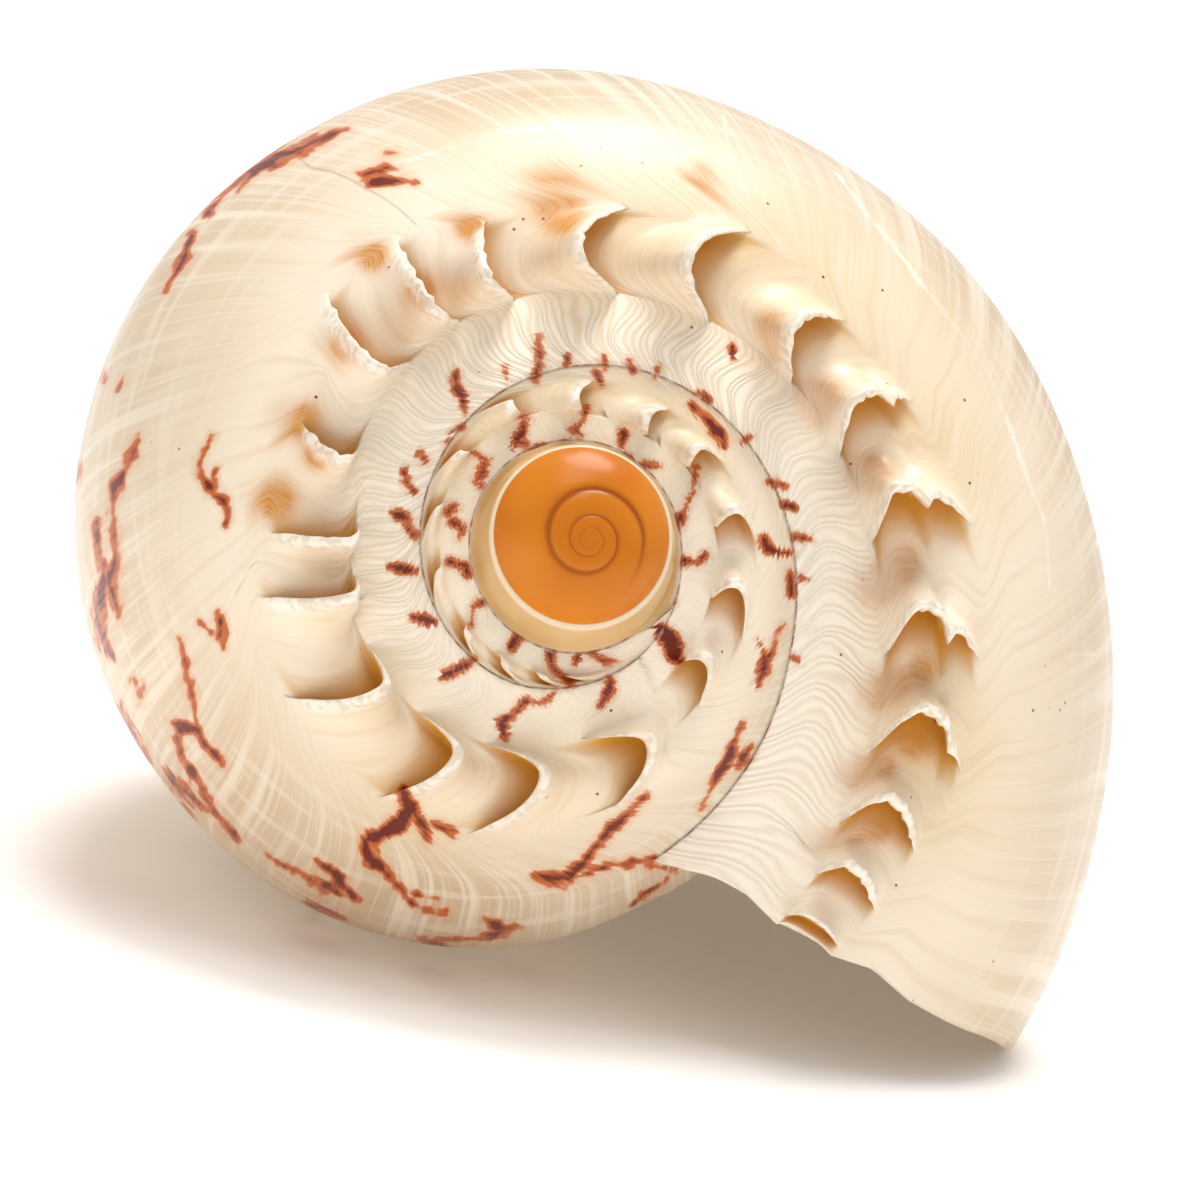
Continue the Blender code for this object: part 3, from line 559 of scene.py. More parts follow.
def upper_band(growth, spine, kind, forward, rise, depth, step):
    """The whorls' upper side from the suture to the edge row: a grid of points, and its values."""
    plan = (growth, kind, forward, rise, depth, step)
    growth, kind, forward, rise, depth, step = [v[:, None] for v in plan]
    before = np.clip(spine - 1, 0, None)
    is_back, is_pit = kind == BACK, kind == PIT
    # How much a column of a back belongs to the spine ahead of it
    ahead = np.where(is_back, smooth(0.0, 0.85, forward), 1.0)

    def blended(values):
        return values[before][:, None] * (1.0 - ahead) + values[spine][:, None] * ahead

    apex, w_in, w_out = blended(APEX), blended(IN_WIDTH), blended(OUT_WIDTH)
    band = np.concatenate((apex + w_in * np.array(INNER_ROWS), apex + w_out * np.array(OUTER_ROWS)), 1)
    ramp_rows = len(RAMP_SHARES)
    rows = ramp_rows + band.shape[1] + SHOULDER_ROWS
    index = np.arange(rows)
    ways = np.linspace(0.0, EDGE_WAY, rows) + 0.0 * growth
    for _ in range(4):
        angle = growth - lean_of(growth, ways)
        spine_r, inner_r, edge_r = at(SPINE_RADIUS, angle), at(SUTURE_RADIUS, angle), edge_radius(angle)
        middle = spine_r[:, ramp_rows:rows - SHOULDER_ROWS] + band
        ramp = inner_r[:, :ramp_rows] + (middle[:, :1] - inner_r[:, :ramp_rows]) * np.array(RAMP_SHARES)
        shares = (np.arange(SHOULDER_ROWS) + 1.0) / SHOULDER_ROWS
        shoulder = middle[:, -1:] + (edge_r[:, -SHOULDER_ROWS:] - middle[:, -1:]) * shares
        radius = np.concatenate((ramp, middle, shoulder), 1)
        gap = np.minimum(ROW_GAP, (edge_r - inner_r) / (rows + 1.0))
        radius = np.clip(radius, inner_r + gap * index, edge_r - gap * (rows - 1 - index))
        ways = way_of(angle, radius)
    out = radius - spine_r
    height = hood(spine[:, None], out)
    edge_fade = smooth(0.0, EDGE_FADE, edge_r - radius)

    # Forward shift against the plain growth line, so that each rim has its own curve
    lean = np.radians(at(LIP_LEAN, ways) - at(LIP_LEAN, APEX_WAY)) * radius
    near = smooth(-1.35, -1.0, (out - apex) / w_in) * (1.0 - smooth(1.0, 1.3, (out - apex) / w_out))
    curve = rim_curve(before[:, None], out) * (1.0 - ahead) + rim_curve(spine[:, None], out) * ahead
    lean = lean * (1.0 - smooth(LIP - 21.0, LIP - 2.0, growth))
    jag = np.sin(2.9 * out + 1.7 * spine[:, None]) + 0.7 * np.sin(4.7 * out + 2.9 * spine[:, None])
    late = smooth(640.0, 660.0, growth) * (1.0 - smooth(LIP - 12.0, LIP - 4.0, growth))
    at_rim = np.where(is_back, smooth(0.75, 1.0, forward), 1.0 - smooth(5.0, 9.0, step))
    curve = curve + JAG_LENGTH * jag * smooth(0.0, 0.3, height) * late * at_rim
    shift = (curve + lean * near) * smooth(0.0, 2.5, radius - inner_r) * edge_fade
    flat = np.radians(growth - OWN[spine][:, None]) * radius
    solid = smooth(0.0, 0.3, height) * edge_fade
    shift = shift + np.where(is_pit, (forward - flat) * solid, 0.0)

    up = height * HEIGHT[spine][:, None]
    pit = PIT_DEPTH * smooth(0.0, 0.6, height)
    climb = np.maximum(forward, 0.0)
    back = up * PIT_STEPS[0][2] * (BACK_LOW * climb ** 2.1 + (1.0 - BACK_LOW) * climb ** 6)
    lift = np.where(is_pit, rise * up - pit * depth, np.where(is_back, back, 0.0)) * edge_fade
    angle = angle + degrees_of(shift, radius)
    at_suture = 1.0 - smooth(0.0, 0.5, radius - inner_r)
    step_up = 0.7 * SUTURE_STEP * at_suture * (growth > SPIRE_START + 360.0)
    z = top_z(angle, radius) + lift - step_up

    # White rims, amber in the pits and tan on their floors, counted in mesh columns forward of the rim's
    # back; the amber is the pits' own colour with painted glow of light through the thin wall, and the
    # floors' tan is painted warm shade
    front = 1.0 - smooth(RIM_COLUMNS, RIM_COLUMNS + 1.4, step)
    rim = np.where(is_pit, front, smooth(0.84, 1.0, forward * is_back))
    deep = smooth(RIM_COLUMNS, RIM_COLUMNS + 1.6, step) * (1.0 - smooth(11.0, 17.0, step))
    inner_corner = 1.0 - smooth(-0.6, 1.1, (out - apex) / w_out)
    floor = smooth(RIM_COLUMNS, RIM_COLUMNS + 1.0, step) * (1.0 - smooth(13.0, 18.0, step))
    in_hood = smooth(0.02, 0.3, height) * edge_fade
    values = {
        "rim": rim * smooth(0.02, 0.2, height) * edge_fade,
        # Amber deep under the rim: the pit's own colour, with painted glow of light through the thin wall
        "amber": np.where(is_pit, deep, 0.0) * in_hood * (0.65 + 0.35 * inner_corner),
        # Tan on the pit's floor: painted warm shade, standing for light bounced inside the pit
        "floor": np.where(is_pit, floor, 0.0) * in_hood * (0.7 + 0.3 * smooth(600.0, 680.0, growth)),
        "suture": radius - inner_r,
        "across": ACROSS_SCALE * ways,
    }
    return place(angle, radius, z), values


def lower_band(growth):
    """The body whorl below the edge row, down to just above the front end."""
    growth = growth[:, None]
    share = (np.arange(BELLY_ROWS) + 1.0) / BELLY_ROWS
    ways = EDGE_WAY + (1.0 - EDGE_WAY) * share
    angle = growth - at(LIP_LEAN, ways)
    belly_z = belly(angle)[1]
    edge_z = top_z(angle, edge_radius(angle))
    z = edge_z + (belly_z - edge_z) * share
    upper = place(angle, radius_at(angle, z), z)
    share = np.sin(0.5 * math.pi * (np.arange(LOWER_ROWS - 1) + 1.0) / LOWER_ROWS) ** 0.9
    angle = growth - at(LIP_LEAN, 1.0 + share)
    belly_z = belly(angle)[1]
    z = belly_z + (-TIP_DEPTH - belly_z) * share
    lower = place(angle, radius_at(angle, z), z)
    ways = np.concatenate((ways, 1.0 + share)) + 0.0 * growth
    return np.concatenate((upper, lower), 1), {"across": ACROSS_SCALE * ways}


def resample(points, count):
    """The same line with a set number of points, evenly spaced."""
    steps = np.concatenate(([0.0], np.cumsum(np.linalg.norm(np.diff(points, axis=0), axis=1))))
    wanted = np.linspace(0.0, steps[-1], count)
    return np.stack([np.interp(wanted, steps, points[:, k]) for k in range(3)], -1)


def plain_line(growth):
    """A growth line without spines from the suture to the front end: angle, radius and z."""
    ways = np.linspace(0.0, EDGE_WAY, 24)
    angle = growth - lean_of(growth, ways)
    radius = radius_of(angle, ways)
    lower = lower_band(np.array([growth]))[0][0]
    lower_angle = growth - (growth - np.degrees(np.arctan2(lower[:, 0], lower[:, 1]))) % 360.0
    lower_radius = np.hypot(lower[:, 0], lower[:, 1])
    z = np.concatenate((top_z(angle, radius), lower[:, 2]))
    return np.concatenate((angle, lower_angle)), np.concatenate((radius, lower_radius)), z


def hollow_loop(growth):
    """Lines round the hollow at one growth line: down the outer wall, and up the pillar side."""
    angle, radius, z = plain_line(growth)
    wall = LIP_WALL + (WALL - LIP_WALL) * smooth(0.0, LIP_TAPER, LIP - growth)
    dr, dz = np.gradient(radius), np.gradient(z)
    size = np.hypot(dr, dz)
    r_in, z_in = radius + wall * dz / size, z - wall * dr / size
    glaze = GLAZE * (0.2 + 0.8 * smooth(0.0, LIP_TAPER, LIP - growth))
    limit = radius_at(angle - 360.0, z_in) + glaze
    good = (r_in > limit + 0.5) & (z_in > -TIP_DEPTH + WALL)
    outer = resample(place(angle, r_in, z_in)[good], HOLLOW_POINTS)
    angle, radius, z = plain_line(growth - (LIP - INNER_LIP))
    good = (z < outer[0, 2] - 0.6) & (z > outer[-1, 2] + 0.6) & (np.arange(len(z)) >= 23)
    inner = resample(place(angle, radius + glaze, z)[good], PILLAR_POINTS)
    share = np.linspace(0.0, 1.0, PILLAR_POINTS)
    inside = (share - FOLD_PLACE[0]) / (FOLD_PLACE[1] - FOLD_PLACE[0])
    ridge = np.sin(math.pi * FOLDS * np.clip(inside, 0.0, 1.0)) ** 2 * FOLD_HEIGHT
    radial = inner[:, :2] / np.linalg.norm(inner[:, :2], axis=1)[:, None]
    inner[:, :2] += radial * ridge[:, None]
    return outer, inner[::-1]


def seam_radius(turn):
    """Radius of the bud's spiral seam up to its outer end, and then of the dome's edge."""
    spiral = SEAM_RADIUS * SEAM_RATIO ** (np.minimum(turn - SEAM_END, 0.0) / 360.0)
    return spiral + (DOME_RADIUS - SEAM_RADIUS) * smooth(0.0, SEAM_OPEN, turn - SEAM_END)


def dome_point(angle, radius, sink=0.0):
    """A point of the bud's dome, whose edge is a little off the coil axis."""
    share = np.clip(radius / DOME_RADIUS, 0.0, 1.0)
    full = 1.0 - math.sqrt(1.0 - DOME_ROUND ** 2)
    z = -DOME_HEIGHT * (1.0 - np.sqrt(1.0 - (DOME_ROUND * share) ** 2)) / full - sink
    point = place(angle, radius, z)
    point[..., 1] += DOME_SHIFT * share ** 1.5
    return point


def zip_lines(faces, first, second, spot):
    """Triangles between two lines of vertices, matched by their share of each line."""
    def shares(line):
        steps = np.concatenate(([0.0], np.cumsum(np.linalg.norm(np.diff(spot[line], axis=0), axis=1))))
        return steps / max(steps[-1], 1e-9)

    along, beside = shares(first), shares(second)
    i = j = 0
    while i < len(first) - 1 or j < len(second) - 1:
        if j == len(second) - 1 or (i < len(first) - 1 and along[i + 1] <= beside[j + 1]):
            faces.append((first[i], first[i + 1], second[j]))
            i += 1
        else:
            faces.append((first[i], second[j + 1], second[j]))
            j += 1


class Net:
    """Points with their values, and the faces between them."""

    def __init__(self):
        self.spot = np.zeros((0, 3))
        self.faces = []
        self.values = {}

    def add(self, points, **values):
        """Adds an array of points of any shape and returns their numbers in the same shape."""
        flat = points.reshape(-1, 3)
        numbers = np.arange(len(flat)) + len(self.spot)
        for name in set(self.values) | set(values):
            old = self.values.get(name, np.full(len(self.spot), PLAIN_VALUES[name]))
            new = np.asarray(values.get(name, PLAIN_VALUES[name]), float)
            new = np.broadcast_to(new, points.shape[:-1]).reshape(-1)
            self.values[name] = np.concatenate((old, new))
        self.spot = np.concatenate((self.spot, flat))
        return numbers.reshape(points.shape[:-1])

    def grid(self, numbers):
        """Four-sided faces over a grid of points."""
        a, b = numbers[:-1, :-1], numbers[:-1, 1:]
        c, d = numbers[1:, 1:], numbers[1:, :-1]
        self.faces.extend(np.stack((a, b, c, d), -1).reshape(-1, 4).tolist())

    def tube(self, first, second):
        """Four-sided faces between two closed lines of points."""
        for k in range(len(first)):
            n = (k + 1) % len(first)
            self.faces.append((int(first[k]), int(first[n]), int(second[n]), int(second[k])))

    def zip(self, first, second):
        zip_lines(self.faces, list(map(int, first)), list(map(int, second)), self.spot)


# Values of a vertex that says nothing else
PLAIN_VALUES = {"seam": 0.0, "floor": 0.0, "rim": 0.0, "amber": 0.0, "suture": 60.0, "across": 0.0,
                "growth": 0.0, "bud": 0.0, "inside": 0.0}


def add_bud(net):
    """The dome with its spiral seam, and the rings under it. Returns the line round its foot."""
    turn_step = 360.0 / BUD_SIDES
    start = SEAM_END - 360.0 * SEAM_TURNS
    end = SEAM_END + SEAM_OPEN + 360.0
    turns = start + turn_step * np.arange(round((end - start) / turn_step))
    core_turns, turns = turns[1:BUD_SIDES], turns[BUD_SIDES:]
    centre = net.add(dome_point(np.zeros(1), np.zeros(1)), bud=1.0)[0]
    core = net.add(dome_point(core_turns, seam_radius(core_turns)), bud=1.0)
    rows = np.array(SEAM_ROWS)
    outside = seam_radius(turns)[:, None]
    within = seam_radius(turns - 360.0)[:, None]
    within[0] = 0.0
    size = np.clip(outside / SEAM_RADIUS, 0.0, 1.0) * (1.0 - smooth(-40.0, 70.0, turns - SEAM_END))[:, None]
    groove = np.clip(1.0 - rows / 0.14, 0.0, 1.0) + np.clip((rows - 0.86) / 0.14, 0.0, 1.0)
    inner_size = np.roll(size, BUD_SIDES)
    inner_size[:BUD_SIDES] = 0.0
    depth = size * (1.0 - rows) + inner_size * rows
    sink = SEAM_DEPTH * groove ** 1.4 * depth - SEAM_BULGE * np.sin(math.pi * rows) ** 0.7 * depth
    radius = outside + (within - outside) * rows
    seam = np.clip(groove * depth * 2.0, 0.0, 1.0)
    whorl = net.add(dome_point(turns[:, None], radius, sink), bud=1.0, seam=seam)
    inner_ends = [centre] + list(core) + list(whorl[:, 0])
    lines = [list(line) + [inner_ends[k]] for k, line in enumerate(whorl)]
    lines.append([inner_ends[len(whorl)]] * (len(rows) + 1))
    for line, ahead in zip(lines, lines[1:]):
        for i in range(len(rows)):
            face = dict.fromkeys((line[i], line[i + 1], ahead[i + 1], ahead[i]))
            if len(face) > 2:
                net.faces.append(tuple(face))
    for a, b in zip(core, core[1:]):
        net.faces.append((centre, a, b))
    for a, b in zip(lines[0], lines[0][1:]):
        net.faces.append((core[-1], a, b))

    ring = list(whorl[-BUD_SIDES:, 0])
    ring_turns = turns[-BUD_SIDES:]
    for radius, drop, shift, level in BUD_RINGS:
        points = place(ring_turns, radius, -drop)
        points[:, 1] += shift
        lower = list(net.add(points, bud=level))
        net.tube(ring, lower)
        ring = lower
    first = round((SPIRE_START + 360.0 - ring_turns[0]) / turn_step) % BUD_SIDES
    return ring[first:] + ring[:first]


def shell_net():
    """The whole shell in its own frame, in millimetres, as one closed net."""
    net = Net()
    plan = columns()
    growth = plan[0]
    points, values = upper_band(*plan)
    upper = net.add(points, growth=growth[:, None], **values)
    net.grid(upper)
    suture, edge = upper[:, 0], upper[:, -1]
    body = int(np.argmax(growth >= INNER_LIP))
    kept = [body]
    for k in range(body + 1, len(growth)):
        if growth[k] - growth[kept[-1]] >= LOWER_PITCH:
            kept.append(k)
    kept[-1] = len(growth) - 1
    points, values = lower_band(growth[kept])
    lower = net.add(points, growth=growth[kept][:, None], **values)
    net.grid(lower)
    tip = int(net.add(np.array([[0.0, 0.0, -TIP_DEPTH]]), across=110.0, growth=LIP)[0])
    net.faces.extend((int(a), tip, int(b)) for a, b in zip(lower[:-1, -1], lower[1:, -1]))
    net.zip(edge[body:], lower[:, 0])
    turn_end = int(np.argmax(growth >= SPIRE_START - LIP_LEAN_AT_EDGE + 360.0))
    net.zip(edge[:body + 1], suture[turn_end:])

    foot = add_bud(net)
    net.zip(suture[:turn_end + 1], foot + foot[:1])
    net.faces.append([int(suture[turn_end])] + [int(k) for k in upper[0][::-1]] + [int(foot[0])])

    loops = []
    for level in np.arange(LIP, HOLLOW_END, -HOLLOW_STEP):
        outer, inner = hollow_loop(level)
        glazed = float(smooth(0.0, LIP_TAPER, LIP - level))
        back = level - (LIP - INNER_LIP)
        loops.append((net.add(outer, inside=1.0), net.add(inner, inside=glazed, growth=back, across=60.0)))
    outer, inner = loops[0]
    lip = [int(k) for k in upper[-1]] + [int(k) for k in lower[-1]] + [tip]
    inner_lip = [tip] + [int(k) for k in lower[0][::-1]] + [int(edge[body])]
    a, b = resample(net.spot[lip], LIP_POINTS), resample(net.spot[outer], LIP_POINTS)
    middle = 0.5 * (a + b)
    ahead = np.stack((middle[:, 1], -middle[:, 0], 0.0 * middle[:, 0]), -1)
    ahead /= np.linalg.norm(ahead, axis=1)[:, None] + 1e-9
    bulge = LIP_ROUND * np.sin(math.pi * np.linspace(0.03, 0.97, LIP_POINTS)) ** 0.3
    middle = net.add(middle + ahead * bulge[:, None], growth=LIP, rim=0.6)
    net.zip(lip, middle)
    net.zip(middle, outer)
    net.zip(inner_lip, inner)
    net.faces.append([lip[0], int(middle[0]), int(outer[0]), int(inner[-1]), inner_lip[-1]])
    net.faces.append([tip, int(inner[0]), int(outer[-1]), int(middle[-1])])
    rings = [np.concatenate(loop) for loop in loops]
    for ring, deeper in zip(rings, rings[1:]):
        net.tube(ring, deeper)
    last_out, last_in = loops[-1]
    net.zip(last_out, last_in[::-1])
    return net


def lie_down():
    """Rotation from the shell's frame to the world: the bud faces -Y and the mouth the floor."""
    up = -Vector(DOWN).normalized()
    front = Vector((0.0, 0.0, -1.0))
    front = (front - up * front.dot(up)).normalized()
    side = front.cross(up)
    return Matrix((side, front, up)).to_4x4()


POSE = Matrix.Translation(BUD_TOP) @ lie_down()

# The camera, worked out in the shell's frame: it looks at the bud nearly along the coil axis
PHOTO_SIZE = 1200.0
PHOTO_SCALE = 0.1225
BUD_PIXEL = (590.0, 540.0)
CAMERA_DISTANCE = 1000.0
TO_CAMERA = np.array((-0.19, -0.10, 1.0)) / math.sqrt(0.19 ** 2 + 0.10 ** 2 + 1.0)
PHOTO_RIGHT = np.array((1.0, 0.0, 0.0)) - TO_CAMERA[0] * TO_CAMERA
PHOTO_RIGHT /= np.linalg.norm(PHOTO_RIGHT)
PHOTO_UP = np.cross(TO_CAMERA, PHOTO_RIGHT)
CAMERA_RIGHT = (0.5 * PHOTO_SIZE - BUD_PIXEL[0]) * PHOTO_SCALE
CAMERA_UP = (BUD_PIXEL[1] - 0.5 * PHOTO_SIZE) * PHOTO_SCALE


def photo_pixels(points):
    """Where points of the shell's frame are in the photograph's 1200 x 1200 frame."""
    scale = PHOTO_SCALE * (CAMERA_DISTANCE - points @ TO_CAMERA) / CAMERA_DISTANCE
    across = 0.5 * PHOTO_SIZE + (points @ PHOTO_RIGHT - CAMERA_RIGHT) / scale
    down = 0.5 * PHOTO_SIZE - (points @ PHOTO_UP - CAMERA_UP) / scale
    return np.stack((across, down), -1)


def link_mesh(name, spot, faces):
    mesh = bpy.data.meshes.new(name)
    mesh.from_pydata([p * MM for p in spot], [], faces)
    work = bmesh.new()
    work.from_mesh(mesh)
    bmesh.ops.triangulate(work, faces=[f for f in work.faces if len(f.verts) > 4])
    bmesh.ops.recalc_face_normals(work, faces=work.faces)
    work.to_mesh(mesh)
    work.free()
    thing = bpy.data.objects.new(name, mesh)
    bpy.context.collection.objects.link(thing)
    return thing


def stroke_distance(points, stroke):
    """Place of pixels beside a stroke: signed distance, distance past its ends, and half width."""
    line, widths = stroke[:, :2], stroke[:, 2]
    best = np.full(len(points), np.inf)
    found = np.zeros((len(points), 3))
    for k, (a, b) in enumerate(zip(line, line[1:])):
        run = b - a
        length = np.linalg.norm(run)
        along = (points - a) @ run / length
        side = ((points - a) @ np.array((-run[1], run[0]))) / length
        inside = np.clip(along, 0.0, length)
        true = np.hypot(along - inside, side)
        past = np.zeros(len(points))
        if k == 0:
            past = np.maximum(past, -along)
        if k == len(line) - 2:
            past = np.maximum(past, along - length)
        signed = np.where(past > 0.0, side, np.where(side < 0.0, -true, true))
        width = np.interp(inside, (0.0, length), widths[k:k + 2])
        better = true < best
        best = np.where(better, true, best)
        found[better] = np.stack((signed, past, width), -1)[better]
    return best, found


def mark_layers(points, strokes, reach, count=MARK_LAYERS):
    """Stroke values in a few layers, so that strokes that lie close are in different ones."""
    layers = [np.tile((0.0, FAR_OFF, 0.0), (len(points), 1)) for _ in range(count)]
    nearest = [np.full(len(points), np.inf) for _ in range(count)]
    members = [[] for _ in range(count)]
    for stroke in strokes:
        stroke = np.array(stroke, float)
        dense = resample(stroke * (1.0, 1.0, 0.0), STROKE_POINTS)[:, :2]
        room = []
        for group in members:
            gaps = [np.min(np.linalg.norm(dense[:, None] - other[None], axis=2)) for other in group]
            room.append(min(gaps, default=1e6))
        layer = int(np.argmax(room))
        members[layer].append(dense)
        low, high = dense.min(0) - 2 * MARK_REACH, dense.max(0) + 2 * MARK_REACH
        close = np.nonzero(np.all((points > low) & (points < high), axis=1))[0]
        if len(close) == 0:
            continue
        distance, found = stroke_distance(points[close], stroke)
        margin = distance - found[:, 2]
        use = (margin < reach(points[close])) & (margin < nearest[layer][close])
        layers[layer][close[use]] = found[use]
        nearest[layer][close[use]] = margin[use]
    return layers


def hidden_strokes():
    """Zigzag strokes over the body whorl, in pixels' size along and across the whorl."""
    rng = np.random.default_rng(HIDDEN_SEED)
    strokes = []
    for k in range(HIDDEN_MARKS):
        growth = HIDDEN_START + (LIP - HIDDEN_START) * (k + rng.random()) / HIDDEN_MARKS
        row = HIDDEN_ROWS[k % len(HIDDEN_ROWS)] + rng.normal(0.0, 2.0)
        spot = np.array((math.radians(growth) * HIDDEN_RADIUS, row)) / PHOTO_SCALE
        stroke = [(*spot, 1.0)]
        count = rng.integers(4, 9)
        heading = rng.uniform(0.3, 1.3)
        for step in range(count):
            turn = heading * (1 if step % 2 else -1) + rng.normal(0.0, 0.25) + 0.5 * math.pi
            spot = spot + rng.uniform(*HIDDEN_STEP) * np.array((math.cos(turn), math.sin(turn)))
            stroke.append((*spot, rng.uniform(*HIDDEN_HALF_WIDTH)))
        stroke[-1] = (*spot, 0.8)
        strokes.append(stroke)
    return strokes


def store(mesh, values):
    """Keeps values of the vertices as attributes: one number or one vector for each vertex."""
    for name, value in values.items():
        kind, key = ("FLOAT", "value") if value.ndim == 1 else ("FLOAT_VECTOR", "vector")
        layer = mesh.attributes.new(name, kind, "POINT")
        layer.data.foreach_set(key, value.astype(np.float32).reshape(-1))


def put(mesh, name, value, where):
    """Gives some of the vertices one value of an attribute."""
    data = mesh.attributes[name].data
    key, size = ("vector", 3) if np.ndim(value) else ("value", 1)
    values = np.zeros(len(data) * size, np.float32)
    data.foreach_get(key, values)
    values.reshape(-1, size)[where] = value
    data.foreach_set(key, values)


def add_marks(shell, net):
    """Attributes that say where the marks and the painted shade in the valleys are."""
    count = len(net.spot)
    normals = np.zeros(3 * count)
    shell.data.vertex_normals.foreach_get("vector", normals)
    facing = normals.reshape(-1, 3) @ (np.array(POSE)[:3, :3] @ TO_CAMERA)
    outside = net.values["inside"] < 0.5
    seen = (facing > FACING) & outside
    pixels = photo_pixels(net.spot)
    shown = np.where(seen[:, None], pixels, NOWHERE)

    def reach(points):
        near = np.linalg.norm(points - np.array(BUD_PIXEL), axis=1) < NEAR_BUD
        return np.where(near, NEAR_REACH, MARK_REACH)

    layers = mark_layers(shown, MARKS, reach)
    flat = np.stack((np.radians(net.values["growth"]) * HIDDEN_RADIUS, net.values["across"]), -1)
    body = outside & ~seen & (net.values["across"] > HIDDEN_ACROSS) & (net.values["growth"] > HIDDEN_GROWTH)
    flat = np.where(body[:, None], flat / PHOTO_SCALE, NOWHERE)
    hidden = mark_layers(flat, hidden_strokes(), lambda p: MARK_REACH)
    found = [mark_layers(shown, strokes, reach, 1)[0] for strokes in (PALE_LINES, SCARS)]
    found += [np.where(body[:, None], back, front) for front, back in zip(layers, hidden)]
    store(shell.data, dict(zip(STROKE_LAYERS, found)))
    # Painted shade in the valleys beside the last hoods, on the sides that face the camera
    tan = np.zeros(count)
    for x, y, radius in VALLEY_SHADE_SPOTS:
        away = (pixels[:, 0] - x) ** 2 + (pixels[:, 1] - y) ** 2
        tan += VALLEY_SHADE_STRENGTH * np.exp(-away / (VALLEY_SHADE_SPREAD * radius) ** 2)
    net.values["tan"] = np.where(seen, np.minimum(tan, 1.0), 0.0)


def notch_lines():
    """Directions along and across the notch's bar and its centre, the same as in the CAD."""
    way = place(MOUTH_SIDE, 1.0, 0.0)
    across = np.cross((0.0, 0.0, 1.0), way)
    return way, across, across * -NOTCH_SHIFT + np.array((0.0, 0.0, -NOTCH_DEPTH))


def cut_notch(shell, matrix):
    """Takes a round bar out of the shell's front end, and gives the cut plain values."""
    way, across, centre = notch_lines()
    turn = 2.0 * math.pi * np.arange(NOTCH_SIDES) / NOTCH_SIDES
    rim = np.cos(turn)[:, None] * across + np.sin(turn)[:, None] * np.array((0.0, 0.0, 1.0))
    spot = np.concatenate([centre + way * end + rim * NOTCH_RADIUS for end in (-NOTCH_REACH, NOTCH_REACH)])
    faces = [(k, (k + 1) % NOTCH_SIDES, (k + 1) % NOTCH_SIDES + NOTCH_SIDES, k + NOTCH_SIDES)
             for k in range(NOTCH_SIDES)]
    faces += [tuple(range(NOTCH_SIDES))[::-1], tuple(range(NOTCH_SIDES, 2 * NOTCH_SIDES))]
    bar = link_mesh("notch bar", spot @ matrix[:3, :3].T + matrix[:3, 3], faces)
    change = shell.modifiers.new("notch", "BOOLEAN")
    change.operation = "DIFFERENCE"
    change.solver = "MANIFOLD"
    change.object = bar
    graph = bpy.context.evaluated_depsgraph_get()
    mesh = bpy.data.meshes.new_from_object(shell.evaluated_get(graph))
    mesh.materials.clear()
    shell.modifiers.clear()
    shell.data = mesh
    bpy.data.objects.remove(bar)

    spot = np.zeros(3 * len(mesh.vertices))
    mesh.vertices.foreach_get("co", spot)
    away = (spot.reshape(-1, 3) / MM - matrix[:3, 3]) @ matrix[:3, :3] - centre
    cut = np.abs(np.hypot(away @ across, away[:, 2]) - NOTCH_RADIUS) < NOTCH_SLACK
    plain = {**PLAIN_VALUES, "inside": 1.0, "across": 100.0, "growth": LIP}
    plain.update(dict.fromkeys(STROKE_LAYERS, (0.0, FAR_OFF, 0.0)))
    for name, value in plain.items():
        put(mesh, name, value, cut)


def make_shell():
    net = shell_net()
    matrix = np.array(POSE)
    world = net.spot @ matrix[:3, :3].T + matrix[:3, 3]
    world[:, 2] = np.maximum(world[:, 2], 0.0)
    shell = link_mesh("shell_surface", world, net.faces)
    add_marks(shell, net)
    store(shell.data, net.values)
    cut_notch(shell, matrix)
    shell.data.shade_smooth()
    return shell


def make_camera():
    here = CAMERA_RIGHT * PHOTO_RIGHT + CAMERA_UP * PHOTO_UP + CAMERA_DISTANCE * TO_CAMERA
    view = Matrix((PHOTO_RIGHT, PHOTO_UP, TO_CAMERA)).transposed().to_4x4()
    view.translation = Vector(here)
    data = bpy.data.cameras.new("camera")
    data.sensor_fit = "HORIZONTAL"
    data.angle = 2.0 * math.atan(0.5 * PHOTO_SIZE * PHOTO_SCALE / CAMERA_DISTANCE)
    data.clip_end = 100.0
    camera = bpy.data.objects.new("camera", data)
    bpy.context.collection.objects.link(camera)
    pose = POSE @ view
    pose.translation = pose.translation * MM
    camera.matrix_world = pose
    bpy.context.scene.camera = camera


# Floor, in metres, and its light; the glow stands for the light that the shell throws on it
FLOOR_SIZE = 12.0
FLOOR_COLOUR = (0.93, 0.93, 0.93, 1.0)
FLOOR_GLOW = (1.0, 0.85, 0.69, 1.0)
FLOOR_GLOW_STRENGTH = 0.17
WORLD_STRENGTH = 0.56
SUN_STRENGTH = 2.4
SUN_ANGLE = 32.0
SUN_WAY = (-0.06, -0.3, -1.0)


def make_floor():
    mesh = bpy.data.meshes.new("floor")
    half = FLOOR_SIZE / 2
    mesh.from_pydata([(-half, -half, 0.0), (half, -half, 0.0), (half, half, 0.0), (-half, half, 0.0)], [],
                     [(0, 1, 2, 3)])
    floor = bpy.data.objects.new("floor", mesh)
    bpy.context.collection.objects.link(floor)
    material = bpy.data.materials.new("pale floor")
    material.use_nodes = True
    surface = material.node_tree.nodes["Principled BSDF"]
    surface.inputs["Base Color"].default_value = FLOOR_COLOUR
    surface.inputs["Roughness"].default_value = 0.7
    surface.inputs["Specular IOR Level"].default_value = 0.0
    surface.inputs["Emission Color"].default_value = FLOOR_GLOW
    surface.inputs["Emission Strength"].default_value = FLOOR_GLOW_STRENGTH
    mesh.materials.append(material)


